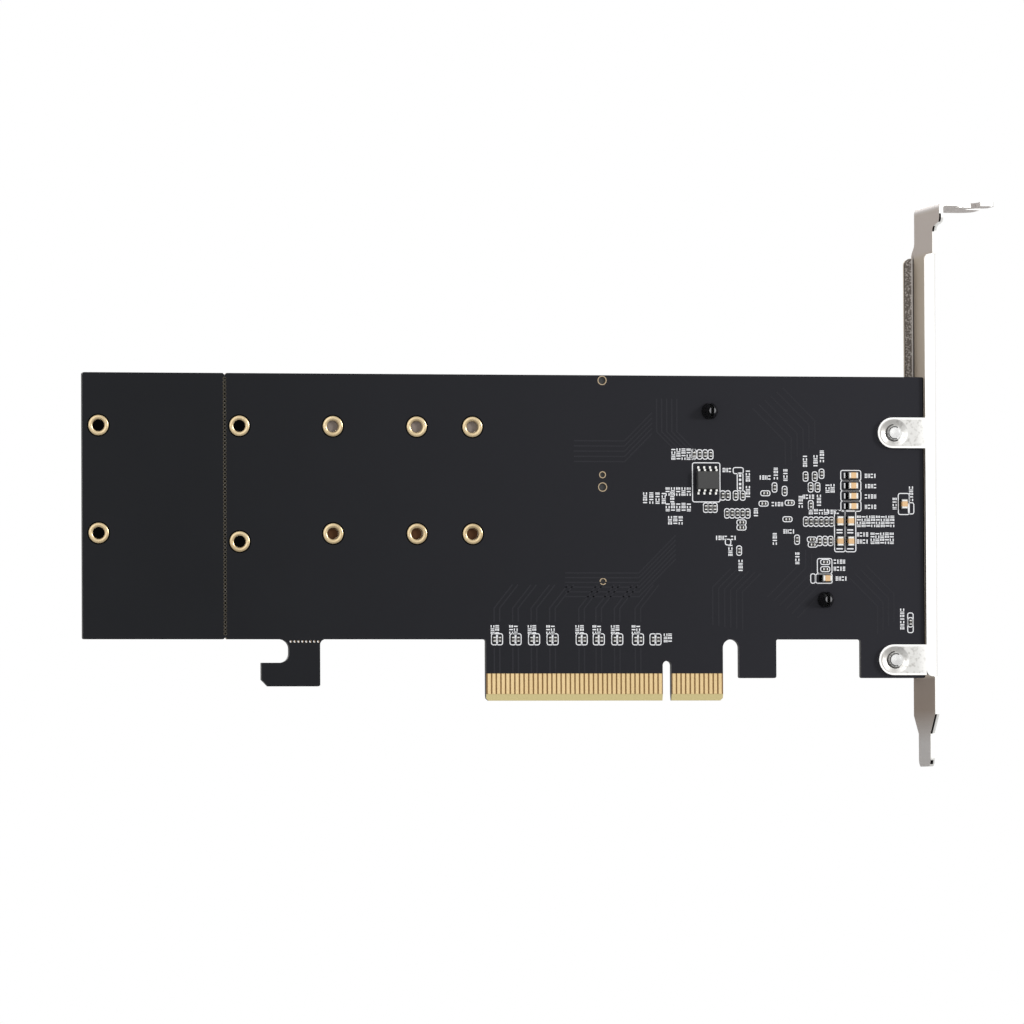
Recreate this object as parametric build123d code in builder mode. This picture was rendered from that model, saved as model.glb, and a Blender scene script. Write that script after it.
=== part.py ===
from build123d import *
import os

os.makedirs("parts", exist_ok=True)

# An expansion card that carries two M.2 solid-state drives on an eight-lane edge connector.
# The origin is the middle of the key notch, on the lower edge of the connector tongue and in
# the middle of the board's thickness. X runs to the bracket, Y from the solder side to the
# component side, Z up.

# Board outline
board_thickness = 1.57
board_left = -125.3
board_right = 56.4
board_base = 12.95
board_top = 68.9
board_corner = 0.4
tongue_left = -39.15
tongue_right = 12.15
tongue_chamfer = 0.5
edge_bevel_height = 1.37
edge_bevel_depth = 0.45
key_notch_width = 1.9
key_notch_height = 8.4
lug_left = 15.7
lug_right = 23.8
foot_left = 42.3
lug_bottom = 4.75
lug_corner = 0.4
cutout_corner = 0.4
slot_roundness = 0.999

# Retention hook beside the tongue, with its perforated root
hook_left = -87.3
hook_neck_left = -81.4
hook_right = -74.8
hook_bottom = 3.05
hook_finger_top = 8.0
hook_gap_corner = 2.0
hook_fillet = 1.2
hook_nose = 1.4
bite_hole = 0.5
bite_pitch = 0.84
bite_count = 8
bite_drop = 0.48
bite_sides = 6
break_sides = 4

# Perforated line across the board, for snapping the long end off
break_line_x = -95.0
break_hole = 0.5
break_pitch = 0.8
break_notch = 0.6
break_margin = 0.9

# Gold contact fingers
finger_pitch = 1.0
finger_width = 0.7
finger_height = 4.36
plating_thickness = 0.08
key_offset = 1.5
fingers_near = 11
fingers_far = 38

# Drive columns: where the far end of each drive length is screwed down
socket_edge_gap = 0.15
socket_gap = 0.7
column_2230 = -41.9
column_2242 = -53.9
column_2260 = -71.9
column_2280 = -91.9
column_22110 = -121.9
lower_2280_offset = -1.74
drive_hole = 2.6
drive_ring = 4.3
round_sides = 12

# Drive sockets
socket_x = -13.8
socket_length = 21.9
socket_front = 2.5
socket_back = 6.2
socket_height = 4.2
socket_floor = 2.25
socket_slot_height = 1.2
socket_slot_depth = 5.6
socket_end_wall = 0.9
socket_lead_in = 0.35
key_rib_inset = 4.85
key_rib_width = 0.9
key_gap = 4.0
peg_inset = 0.95
peg_large = 1.5
peg_small = 1.0
peg_length = 1.1
peg_clearance = 0.05
contact_pitch = 0.5
contact_width = 0.2
contact_sheet = 0.15
contact_channel_depth = 0.35
contact_channel_end = 1.2
contact_clearance = 0.04
contact_reach = 3.6
clip_width = 1.1
clip_foot = 0.8
clip_height = 1.3
clip_sheet = 0.2

# Standoffs and screws for the drives
standoff_diameter = 4.6
standoff_height = 2.45
standoff_bore = 2.0
shank_clearance = 0.1
drive_screw_head = 4.0
drive_screw_head_height = 0.7
drive_screw_chamfer = 0.2
drive_screw_shank = 1.9
drive_screw_tip_gap = 0.15
driver_slot_width = 0.35
driver_slot_length = 2.0
driver_slot_depth = 0.4

# Switch chip under the heat sink
chip_x = 22.05
chip_z = 41.4
chip_size = 25.0
substrate_thickness = 1.1
lid_size = 21.0
lid_thickness = 1.3
lid_corner = 1.0
lid_chamfer = 0.3
ball_diameter = 0.6
ball_height = 0.45
ball_pitch = 4.5
ball_margin = 1.0
ball_sides = 6
pad_size = 19.0
pad_thickness = 0.4

# Heat sink
sink_width = 33.0
sink_height = 49.0
sink_base = 2.4
sink_total = 10.6
sink_fins = 9
sink_fin = 1.1
sink_ear = 7.2
sink_fin_setback = 1.0
sink_hole = 3.4

# Push pins, their springs and their board holes
pin_offset_x = 12.55
pin_offset_z = 20.0
pin_hole = 3.1
pin_shank = 2.8
pin_barb = 3.5
pin_barb_length = 3.1
pin_barb_tip = 1.4
pin_barb_shoulder = 0.4
pin_slit = 0.7
pin_head = 5.4
pin_head_top = 3.6
pin_head_height = 1.2
pin_above_spring = 0.2
spring_outer = 4.8
spring_wire = 0.45
spring_turns = 4
spring_steps = 12
spring_length = 4.6

# Bracket
sheet = 0.9
bracket_gap = 0.1
flange_reach = 2.7
flange_bottom = 5.1
flange_top = 95.3
flange_corner = 1.4
bend_inner = 0.4
plate_width = 18.42
bracket_top = 106.0
neck_inset = 2.8
neck_flare_top = 98.6
shoulder_bottom = 100.0
shoulder_top = 102.8
shoulder_reach = 6.0
shoulder_ease = 0.8
top_tab_reach = 11.43
top_tab_corner = 3.0
top_tab_near_corner = 1.2
screw_notch_centre = 5.8
screw_notch_width = 4.7
screw_notch_depth = 5.1
guide_notch_mouth_low = 0.6
guide_notch_mouth_high = 6.5
guide_notch_root_reach = 6.9
guide_notch_root = 4.2
guide_notch_root_radius = 0.6
taper_top = -3.0
taper_bottom = -7.0
tongue_width = 10.19
tongue_bottom = -14.02
tongue_corner = 1.8
tab_half_height = 3.25
tab_reach = 3.65
tab_screw_inset = 6.65
tab_screw_drop = 11.93
tab_screw_spacing = 48.37
tab_dimple = 5.8
tab_dimple_depth = 0.4
tab_tapped_hole = 3.0

# Bracket screws
screw_clearance_hole = 3.4
screw_shank = 2.9
screw_proud = 0.25
screw_head = 5.6
screw_head_height = 2.0
screw_head_chamfer = 0.6
cross_width = 0.7
cross_length = 3.0
cross_depth = 0.9

# Flash memory chip in an eight-lead case, on the solder side
flash_x = 8.88
flash_z = 46.69
flash_width = 4.9
flash_height = 3.9
flash_thickness = 1.45
flash_standoff = 0.15
flash_draft = 0.2
flash_leads_a_side = 4
flash_lead_pitch = 1.27
flash_lead_width = 0.42
flash_lead_sheet = 0.2
flash_lead_span = 6.0
flash_lead_foot = 0.65

# Chip capacitors and resistors
chip_end_share = 0.24
large_length = 2.0
large_width = 1.25
large_thickness = 1.1
small_length = 1.0
small_width = 0.5
small_thickness = 0.4
tan_stack_x = 40.7
tan_stack_top = 47.85
tan_stack_pitch = 2.18
tan_stack_count = 4
tall_stack_x = 38.95
tall_stack_z = 36.0
tall_stack_pitch_x = 2.35
tall_stack_pitch_z = 4.32
bracket_capacitor_inset = 4.5
bracket_capacitor_z = 41.8
small_pitch = 1.2
pair_pitch = 1.15

# Component side, behind the drives' sockets
inductor_x = 46.4
inductor_z = 38.0
inductor_size = 6.6
inductor_height = 3.0
inductor_corner = 1.2
inductor_chamfer = 0.5
regulator_x = 46.4
regulator_z = 30.0
regulator_size = 4.0
regulator_thickness = 0.9
regulator_chamfer = 0.4
bulk_x = 46.4
bulk_z = 22.5
bulk_length = 3.2
bulk_width = 2.5
bulk_thickness = 2.0
bulk_pitch = 3.2
bulk_count = 3
crystal_x = 4.4
crystal_z = 20.5
crystal_length = 3.2
crystal_width = 2.5
crystal_base = 0.4
crystal_lid = 0.35
lamp_inset = 2.8
lamp_z = 22.0
lamp_pitch = 4.0
lamp_length = 1.6
lamp_width = 0.8
lamp_thickness = 0.6

# Faces of the board
solder_face = -board_thickness / 2
component_face = board_thickness / 2

# Planes whose sketches lie on a face of the board: X to the right and Z up on the solder
# side, and the same axes seen through the board on the component side
solder_plane = Plane(origin=(0, solder_face, 0), x_dir=(1, 0, 0), z_dir=(0, -1, 0))


def component_plane(height=0.0):
    """A plane this far above the component side: its normal is +Y, local x is -X, y is Z."""
    return Plane(origin=(0, component_face + height, 0), x_dir=(-1, 0, 0), z_dir=(0, 1, 0))


def solder_plane_at(height):
    """A plane this far above the solder side: its normal is -Y, local x is X, y is Z."""
    return solder_plane.offset(height)


def mirrored(places):
    """Places given as (x, z) on the board, as the component side's planes count them."""
    return [(-x, z) for x, z in places]


def nearest_vertices(sketch, places):
    """The sketch's corners that lie nearest to the given (x, z) places."""
    return [sketch.vertices().sort_by_distance((x, z, 0))[0] for x, z in places]


def small_round(radius, sides=round_sides, mode=Mode.ADD):
    """A small round with flat sides that touch the circle of this radius from outside."""
    return RegularPolygon(radius, sides, major_radius=False, mode=mode)


drive_row_upper = board_top - socket_edge_gap - socket_length / 2
drive_row_lower = drive_row_upper - socket_length - socket_gap
drive_rows = (drive_row_upper, drive_row_lower)
peg_spacing = socket_length - 2 * peg_inset
key_rib_offset = socket_length / 2 - key_rib_inset
columns = (column_2230, column_2242, column_2260, column_2280, column_22110)
open_hole_places = [(x, z) for x in columns[:3] for z in drive_rows]
standoff_places = [
    (column_2280, drive_row_upper),
    (column_2280, drive_row_lower + lower_2280_offset),
    (column_22110, drive_row_upper),
    (column_22110, drive_row_lower),
]
drive_hole_places = open_hole_places + standoff_places
large_peg_places = [(socket_x, z + peg_spacing / 2) for z in drive_rows]
small_peg_places = [(socket_x, z - peg_spacing / 2) for z in drive_rows]
tab_screw_x = board_right - tab_screw_inset
tab_screw_upper = board_top - tab_screw_drop
tab_screw_lower = tab_screw_upper - tab_screw_spacing
tab_screw_places = [(tab_screw_x, tab_screw_upper), (tab_screw_x, tab_screw_lower)]
pin_places = [
    (chip_x - pin_offset_x, chip_z + pin_offset_z),
    (chip_x + pin_offset_x, chip_z - pin_offset_z),
]


# Circuit board: outline, tongue, lugs and hook cut from one laminate
board_width = board_right - board_left
board_height = board_top - board_base
slot_radius = (lug_left - tongue_right) / 2
bite_row = board_base - bite_drop
bite_left = (hook_neck_left + hook_right) / 2 - bite_pitch * (bite_count - 1) / 2

with BuildPart() as circuit_board:
    with BuildSketch(Plane.XZ) as board_outline:
        with Locations((board_left, board_base)):
            Rectangle(board_width, board_height, align=Align.MIN)
        with Locations((tongue_left, 0)):
            Rectangle(tongue_right - tongue_left, board_base, align=Align.MIN)
        with Locations((lug_left, lug_bottom)):
            Rectangle(lug_right - lug_left, board_base - lug_bottom, align=Align.MIN)
        with Locations((foot_left, lug_bottom)):
            Rectangle(board_right - foot_left, board_base - lug_bottom, align=Align.MIN)
        with Locations((hook_neck_left, hook_bottom)):
            Rectangle(hook_right - hook_neck_left, board_base - hook_bottom, align=Align.MIN)
        with Locations((hook_left, hook_bottom)):
            Rectangle(hook_neck_left - hook_left, hook_finger_top - hook_bottom, align=Align.MIN)
        board_corners = [(board_left, board_base), (board_left, board_top), (board_right, board_top)]
        fillet(nearest_vertices(board_outline, board_corners), board_corner)
        gap_corners = [(hook_neck_left, board_base), (hook_neck_left, hook_finger_top)]
        fillet(nearest_vertices(board_outline, gap_corners), hook_gap_corner)
        fillet(nearest_vertices(board_outline, [(hook_right, board_base)]), hook_fillet)
        fillet(nearest_vertices(board_outline, [(hook_right, hook_bottom)]), board_corner)
        chamfer(nearest_vertices(board_outline, [(hook_left, hook_bottom)]), hook_nose)
        lug_ends = [(lug_left, lug_bottom), (lug_right, lug_bottom), (foot_left, lug_bottom)]
        fillet(nearest_vertices(board_outline, lug_ends + [(board_right, lug_bottom)]), lug_corner)
        cutout_corners = [(lug_right, board_base), (foot_left, board_base), (tongue_left, board_base)]
        fillet(nearest_vertices(board_outline, cutout_corners), cutout_corner)
        chamfer(nearest_vertices(board_outline, [(tongue_left, 0), (tongue_right, 0)]), tongue_chamfer)
        slot_corners = [(tongue_right, board_base), (lug_left, board_base)]
        fillet(nearest_vertices(board_outline, slot_corners), slot_radius * slot_roundness)
        with Locations((0, 0)):
            Rectangle(
                key_notch_width,
                2 * (key_notch_height - key_notch_width / 2),
                mode=Mode.SUBTRACT,
            )
        with Locations((0, key_notch_height - key_notch_width / 2)):
            Circle(key_notch_width / 2, mode=Mode.SUBTRACT)
        for hole, places in (
            (drive_hole, drive_hole_places),
            (peg_large + 2 * peg_clearance, large_peg_places),
            (peg_small + 2 * peg_clearance, small_peg_places),
            (pin_hole, pin_places),
            (screw_clearance_hole, tab_screw_places),
        ):
            with Locations(*places):
                small_round(hole / 2, mode=Mode.SUBTRACT)
        with Locations(*[(bite_left + i * bite_pitch, bite_row) for i in range(bite_count)]):
            small_round(bite_hole / 2, bite_sides, mode=Mode.SUBTRACT)
        with Locations((break_line_x, board_base), (break_line_x, board_top)):
            Rectangle(break_notch, break_notch, rotation=45, mode=Mode.SUBTRACT)
        break_holes = int((board_height - 2 * break_margin) / break_pitch) + 1
        with Locations((break_line_x, (board_base + board_top) / 2)):
            with GridLocations(1, break_pitch, 1, break_holes):
                small_round(break_hole / 2, break_sides, mode=Mode.SUBTRACT)
    extrude(amount=board_thickness / 2, both=True)
    # The tongue's lower edge is bevelled on both faces
    with BuildSketch(Plane.YZ.offset(tongue_left)):
        for side in (-1, 1):
            with BuildLine():
                Polyline(
                    (side * board_thickness / 2, 0),
                    (side * board_thickness / 2, edge_bevel_height),
                    (side * (board_thickness / 2 - edge_bevel_depth), 0),
                    close=True,
                )
            make_face()
    extrude(amount=tongue_right - tongue_left, mode=Mode.SUBTRACT)
circuit_board.part.label = "circuit_board"
export_step(circuit_board.part, "parts/circuit_board.step")


# Gold fingers, one row on each face of the tongue
near_fingers = [key_offset + i * finger_pitch for i in range(fingers_near)]
far_fingers = [-key_offset - i * finger_pitch for i in range(fingers_far)]
finger_middle = edge_bevel_height + finger_height / 2
finger_places = [(x, finger_middle) for x in near_fingers + far_fingers]

with BuildPart() as edge_contacts_solder_side:
    with BuildSketch(solder_plane):
        with Locations(*finger_places):
            Rectangle(finger_width, finger_height)
    extrude(amount=plating_thickness)
edge_contacts_solder_side.part.label = "edge_contacts_solder_side"
export_step(edge_contacts_solder_side.part, "parts/edge_contacts_solder_side.step")

with BuildPart() as edge_contacts_component_side:
    with BuildSketch(component_plane()):
        with Locations(*mirrored(finger_places)):
            Rectangle(finger_width, finger_height)
    extrude(amount=plating_thickness)
edge_contacts_component_side.part.label = "edge_contacts_component_side"
export_step(edge_contacts_component_side.part, "parts/edge_contacts_component_side.step")


# Plated barrels of the drive holes, with a ring on each face of the board
plated_bore = drive_hole - 2 * plating_thickness
shank_length = board_thickness + 2 * plating_thickness

with BuildPart() as drive_hole_platings:
    with BuildSketch(Plane.XZ.offset(-component_face)):
        with Locations(*drive_hole_places):
            small_round(drive_hole / 2)
    extrude(amount=board_thickness)
    for ring_plane, places in (
        (solder_plane, drive_hole_places),
        (component_plane(), mirrored(drive_hole_places)),
    ):
        with BuildSketch(ring_plane):
            with Locations(*places):
                small_round(drive_ring / 2)
        extrude(amount=plating_thickness)
    with BuildSketch(solder_plane_at(plating_thickness)):
        with Locations(*open_hole_places):
            Circle(plated_bore / 2)
        with Locations(*standoff_places):
            small_round(plated_bore / 2)
    extrude(amount=-shank_length, mode=Mode.SUBTRACT)
drive_hole_platings.part.label = "drive_hole_platings"
export_step(drive_hole_platings.part, "parts/drive_hole_platings.step")


# Standoffs with a shank in the plated hole, and the small screws kept in them
standoff_shank = plated_bore - shank_clearance

with BuildPart() as drive_standoffs:
    for diameter, depth in ((standoff_diameter, standoff_height), (standoff_shank, -shank_length)):
        with BuildSketch(component_plane(plating_thickness)):
            with Locations(*mirrored(standoff_places)):
                small_round(diameter / 2)
        extrude(amount=depth)
    with BuildSketch(component_plane(plating_thickness)):
        with Locations(*mirrored(standoff_places)):
            small_round(standoff_bore / 2)
    extrude(amount=standoff_height, mode=Mode.SUBTRACT)
drive_standoffs.part.label = "drive_standoffs"
export_step(drive_standoffs.part, "parts/drive_standoffs.step")

screw_seat = plating_thickness + standoff_height
screw_top = screw_seat + drive_screw_head_height

with BuildPart() as drive_screws:
    with BuildSketch(component_plane(screw_seat)):
        with Locations(*mirrored(standoff_places)):
            small_round(drive_screw_head / 2)
    extrude(amount=drive_screw_head_height)
    chamfer(drive_screws.edges().group_by(Axis.Y)[-1], drive_screw_chamfer)
    with BuildSketch(component_plane(screw_seat)):
        with Locations(*mirrored(standoff_places)):
            small_round(drive_screw_shank / 2)
    extrude(amount=drive_screw_tip_gap - standoff_height)
    with BuildSketch(component_plane(screw_top)):
        with Locations(*mirrored(standoff_places)):
            Rectangle(driver_slot_length, driver_slot_width)
            Rectangle(driver_slot_width, driver_slot_length)
    extrude(amount=-driver_slot_depth, mode=Mode.SUBTRACT)
drive_screws.part.label = "drive_screws"
export_step(drive_screws.part, "parts/drive_screws.step")


# Drive sockets. The housing is a block with a card slot that opens towards the drives, a key
# rib across the slot, a channel for each bank of spring contacts and two unlike location pegs.
socket_depth = socket_front + socket_back
slot_top = socket_floor + socket_slot_height
slot_half = socket_length / 2 - socket_end_wall
contact_half = int(slot_half / contact_pitch) - 1
roof_row = [i * contact_pitch for i in range(-contact_half, contact_half + 1)]
floor_row = [s + contact_pitch / 2 for s in roof_row[:-1]]
mouth_x = socket_x - socket_front
rear_x = socket_x + socket_back


def banks(row):
    """The contacts of a row on each side of the key, as offsets along the socket."""
    near_key = key_gap / 2
    above = [s for s in row if s + key_rib_offset > near_key]
    below = [s for s in row if s + key_rib_offset < -near_key]
    return above, below


def socket_profile_plane(z):
    """A plane across the socket at height z: local x is X and local y is Y."""
    return Plane(origin=(0, component_face, z), x_dir=(1, 0, 0), z_dir=(0, 0, 1))


def make_housing(row_z):
    """The moulded housing of one socket, centred on its drive's row."""
    with BuildPart() as housing:
        with BuildSketch(socket_profile_plane(row_z)):
            with Locations((mouth_x, 0)):
                Rectangle(socket_depth, socket_height, align=Align.MIN)
        extrude(amount=socket_length / 2, both=True)
        rear_edges = housing.edges().filter_by(Axis.Z).group_by(Axis.Y)[-1]
        chamfer(rear_edges, socket_lead_in)
        # Card slot with a flared mouth
        with BuildSketch(socket_profile_plane(row_z)):
            with BuildLine():
                Polyline(
                    (mouth_x, socket_floor - socket_lead_in),
                    (mouth_x + socket_lead_in, socket_floor),
                    (mouth_x + socket_slot_depth, socket_floor),
                    (mouth_x + socket_slot_depth, slot_top),
                    (mouth_x + socket_lead_in, slot_top),
                    (mouth_x, slot_top + socket_lead_in),
                    close=True,
                )
            make_face()
        extrude(amount=slot_half, both=True, mode=Mode.SUBTRACT)
        # Key rib
        with BuildSketch(socket_profile_plane(row_z - key_rib_offset)):
            with Locations((mouth_x + socket_lead_in, socket_floor)):
                Rectangle(socket_slot_depth - socket_lead_in, socket_slot_height, align=Align.MIN)
        extrude(amount=key_rib_width / 2, both=True)
        # Contact channels: the roof's run out at the rear, the floor's run out at the mouth
        for row, side, start, reach in (
            (roof_row, slot_top, mouth_x + contact_channel_end, socket_depth - contact_channel_end),
            (floor_row, socket_floor - contact_channel_depth, mouth_x, socket_slot_depth),
        ):
            for bank in banks(row):
                middle = (bank[0] + bank[-1]) / 2
                span = bank[-1] - bank[0] + contact_pitch
                with BuildSketch(Plane.YZ.offset(start)):
                    with Locations((component_face + side, row_z + middle)):
                        Rectangle(contact_channel_depth, span, align=(Align.MIN, Align.CENTER))
                extrude(amount=reach, mode=Mode.SUBTRACT)
        # Location pegs
        with BuildSketch(component_plane()):
            with Locations((-socket_x, row_z + peg_spacing / 2)):
                small_round(peg_large / 2)
            with Locations((-socket_x, row_z - peg_spacing / 2)):
                small_round(peg_small / 2)
        extrude(amount=-peg_length)
    return housing.part


def make_strip(corners):
    """One contact strip, cut to this outline across the socket, at the middle of the row."""
    with BuildPart() as strip:
        with BuildSketch(socket_profile_plane(0)):
            with BuildLine():
                Polyline(*corners, close=True)
            make_face()
        extrude(amount=contact_width / 2, both=True)
    return strip.part


def make_contacts(row_z):
    """The spring contacts of one socket: a riser on the board, and a beam in its channel."""
    beam_bottom = slot_top + contact_clearance
    beam_front = mouth_x + contact_channel_end + contact_clearance
    riser_x = rear_x + contact_clearance
    roof_strip = make_strip([
        (riser_x, 0),
        (riser_x + contact_sheet, 0),
        (riser_x + contact_sheet, beam_bottom + contact_sheet),
        (beam_front, beam_bottom + contact_sheet),
        (beam_front, beam_bottom),
        (riser_x, beam_bottom),
    ])
    beam_top = socket_floor - contact_clearance
    front_x = mouth_x - contact_clearance
    floor_strip = make_strip([
        (front_x, 0),
        (front_x, beam_top - contact_sheet),
        (mouth_x + contact_reach, beam_top - contact_sheet),
        (mouth_x + contact_reach, beam_top),
        (front_x - contact_sheet, beam_top),
        (front_x - contact_sheet, 0),
    ])
    with BuildPart() as contacts:
        for row, strip in ((roof_row, roof_strip), (floor_row, floor_strip)):
            for bank in banks(row):
                with Locations(*[(0, 0, row_z + s) for s in bank]):
                    add(strip)
    return contacts.part


for place, row_z in (("upper", drive_row_upper), ("lower", drive_row_lower)):
    housing = make_housing(row_z)
    housing.label = "drive_socket_housing_" + place
    export_step(housing, "parts/drive_socket_housing_" + place + ".step")
    socket_contacts = make_contacts(row_z)
    socket_contacts.label = "drive_socket_contacts_" + place
    export_step(socket_contacts, "parts/drive_socket_contacts_" + place + ".step")

# Hold-down clips: a small angle at each corner of each socket, soldered to the board
clip_reach = (socket_length - clip_width) / 2
clip_leaf = contact_clearance + clip_sheet

with BuildPart() as drive_socket_clips:
    for clip_z in [z + side * clip_reach for z in drive_rows for side in (-1, 1)]:
        for wall_x, away in ((mouth_x, -1), (rear_x, 1)):
            with BuildSketch(socket_profile_plane(clip_z)):
                with BuildLine():
                    Polyline(
                        (wall_x + away * contact_clearance, 0),
                        (wall_x + away * (clip_leaf + clip_foot), 0),
                        (wall_x + away * (clip_leaf + clip_foot), clip_sheet),
                        (wall_x + away * clip_leaf, clip_sheet),
                        (wall_x + away * clip_leaf, clip_height),
                        (wall_x + away * contact_clearance, clip_height),
                        close=True,
                    )
                make_face()
            extrude(amount=clip_width / 2, both=True)
drive_socket_clips.part.label = "drive_socket_clips"
export_step(drive_socket_clips.part, "parts/drive_socket_clips.step")


# Switch chip: solder balls, substrate and metal lid
ball_span = chip_size - 2 * ball_margin
balls_a_side = int(ball_span / ball_pitch)
ball_line = [-ball_span / 2 + i * ball_span / balls_a_side for i in range(balls_a_side)]
ball_ring = (
    [(s, ball_span / 2) for s in ball_line]
    + [(ball_span / 2, -s) for s in ball_line]
    + [(-s, -ball_span / 2) for s in ball_line]
    + [(-ball_span / 2, s) for s in ball_line]
)
lid_seat = ball_height + substrate_thickness
pad_seat = lid_seat + lid_thickness
sink_seat = pad_seat + pad_thickness

with BuildPart() as switch_solder_balls:
    with BuildSketch(component_plane()):
        with Locations(*[(-chip_x + x, chip_z + z) for x, z in ball_ring]):
            small_round(ball_diameter / 2, ball_sides)
    extrude(amount=ball_height)
switch_solder_balls.part.label = "switch_solder_balls"
export_step(switch_solder_balls.part, "parts/switch_solder_balls.step")

with BuildPart() as switch_chip_substrate:
    with BuildSketch(component_plane(ball_height)):
        with Locations((-chip_x, chip_z)):
            Rectangle(chip_size, chip_size)
            with Locations((-chip_size / 2, chip_size / 2)):
                Rectangle(lid_corner, lid_corner, rotation=45, mode=Mode.SUBTRACT)
    extrude(amount=substrate_thickness)
switch_chip_substrate.part.label = "switch_chip_substrate"
export_step(switch_chip_substrate.part, "parts/switch_chip_substrate.step")

with BuildPart() as switch_chip_lid:
    with BuildSketch(component_plane(lid_seat)):
        with Locations((-chip_x, chip_z)):
            Rectangle(lid_size, lid_size)
    extrude(amount=lid_thickness)
    chamfer(switch_chip_lid.edges().filter_by(Axis.Y), lid_corner)
    chamfer(switch_chip_lid.edges().group_by(Axis.Y)[-1], lid_chamfer)
switch_chip_lid.part.label = "switch_chip_lid"
export_step(switch_chip_lid.part, "parts/switch_chip_lid.step")

with BuildPart() as thermal_pad:
    with BuildSketch(component_plane(pad_seat)):
        with Locations((-chip_x, chip_z)):
            Rectangle(pad_size, pad_size)
    extrude(amount=pad_thickness)
thermal_pad.part.label = "thermal_pad"
export_step(thermal_pad.part, "parts/thermal_pad.step")


# Heat sink: an extruded comb whose two opposite corners are cut down to ears for the pins
fin_gap_pitch = (sink_width - sink_fin) / (sink_fins - 1)

with BuildPart() as heat_sink:
    with BuildSketch(component_plane(sink_seat)):
        with Locations((-chip_x, chip_z)):
            Rectangle(sink_width, sink_height)
    extrude(amount=sink_base)
    with BuildSketch(component_plane(sink_seat + sink_base)):
        with Locations((-chip_x, chip_z)):
            with GridLocations(fin_gap_pitch, 1, sink_fins, 1):
                Rectangle(sink_fin, sink_height - 2 * sink_fin_setback)
    extrude(amount=sink_total - sink_base)
    with BuildSketch(component_plane(sink_seat + sink_base)):
        with Locations(*mirrored(pin_places)):
            Rectangle(2 * sink_ear, 2 * sink_ear)
    extrude(amount=sink_total - sink_base, mode=Mode.SUBTRACT)
    with BuildSketch(component_plane(sink_seat)):
        with Locations(*mirrored(pin_places)):
            small_round(sink_hole / 2)
    extrude(amount=sink_base, mode=Mode.SUBTRACT)
heat_sink.part.label = "heat_sink"
export_step(heat_sink.part, "parts/heat_sink.step")


# Push pins: a turned head and shank, and a barb split by a slit where it grips the board
spring_seat = component_face + sink_seat + sink_base
pin_head_seat = spring_seat + spring_length
barb_root = solder_face
barb_tip = barb_root - pin_barb_length


def pin_axis_plane(x, z):
    """A plane through a pin's axis: local x is X from the axis and local y is Y."""
    return Plane(origin=(x, 0, z), x_dir=(1, 0, 0), z_dir=(0, 0, 1))


# Each pin's sections as (height above the component side, diameter), from the tip to the head
pin_sections = [
    (barb_tip - component_face, pin_barb_tip),
    (barb_root - pin_barb_shoulder - component_face, pin_barb),
    (barb_root - component_face, pin_shank),
    (pin_head_seat - component_face, pin_shank),
]
head_sections = [
    (pin_head_seat - component_face, pin_head),
    (pin_head_seat + pin_head_height - component_face, pin_head_top),
]

with BuildPart() as push_pins:
    for place in mirrored(pin_places):
        for sections in (pin_sections, head_sections):
            for height, diameter in sections:
                with BuildSketch(component_plane(height)):
                    with Locations(place):
                        small_round(diameter / 2)
            loft(ruled=True)
        with BuildSketch(component_plane()):
            with Locations(place):
                Rectangle(pin_slit, 2 * pin_barb)
        extrude(amount=barb_tip - component_face, mode=Mode.SUBTRACT)
push_pins.part.label = "push_pins"
export_step(push_pins.part, "parts/push_pins.step")

spring_radius = (spring_outer - spring_wire) / 2
spring_climb = spring_length - spring_wire - pin_above_spring
spring_foot = spring_seat + spring_wire / 2


def coil_point(x, z, step):
    """A point of the coil after this many of its straight steps, round a pin's axis."""
    turn = step / spring_steps
    lift = Vector(x, spring_foot + spring_climb * turn / spring_turns, z)
    return lift + Vector(spring_radius, 0, 0).rotate(Axis.Y, 360 * turn)


with BuildPart() as push_pin_springs:
    for x, z in pin_places:
        with BuildLine() as coil:
            Polyline(*[coil_point(x, z, step) for step in range(spring_turns * spring_steps + 1)])
        with BuildSketch(Plane(origin=coil.line @ 0, z_dir=coil.line % 0)):
            Rectangle(spring_wire, spring_wire)
        sweep(path=coil.line, transition=Transition.RIGHT)
push_pin_springs.part.label = "push_pin_springs"
export_step(push_pin_springs.part, "parts/push_pin_springs.step")


# Bracket: a folded channel with a screw tab at the top and two lugs on the board
bracket_near = solder_face - sheet
bracket_far = bracket_near + plate_width
bracket_outer = board_right + bracket_gap + flange_reach
plate_inner = bracket_outer - sheet
bend_outer = bend_inner + sheet
flange_edge = bracket_outer - flange_reach
bracket_middle = (bracket_near + bracket_far) / 2
neck_far = bracket_far - neck_inset
shoulder_near = bracket_near - shoulder_reach
top_tab_tip = bracket_outer + top_tab_reach

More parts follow.
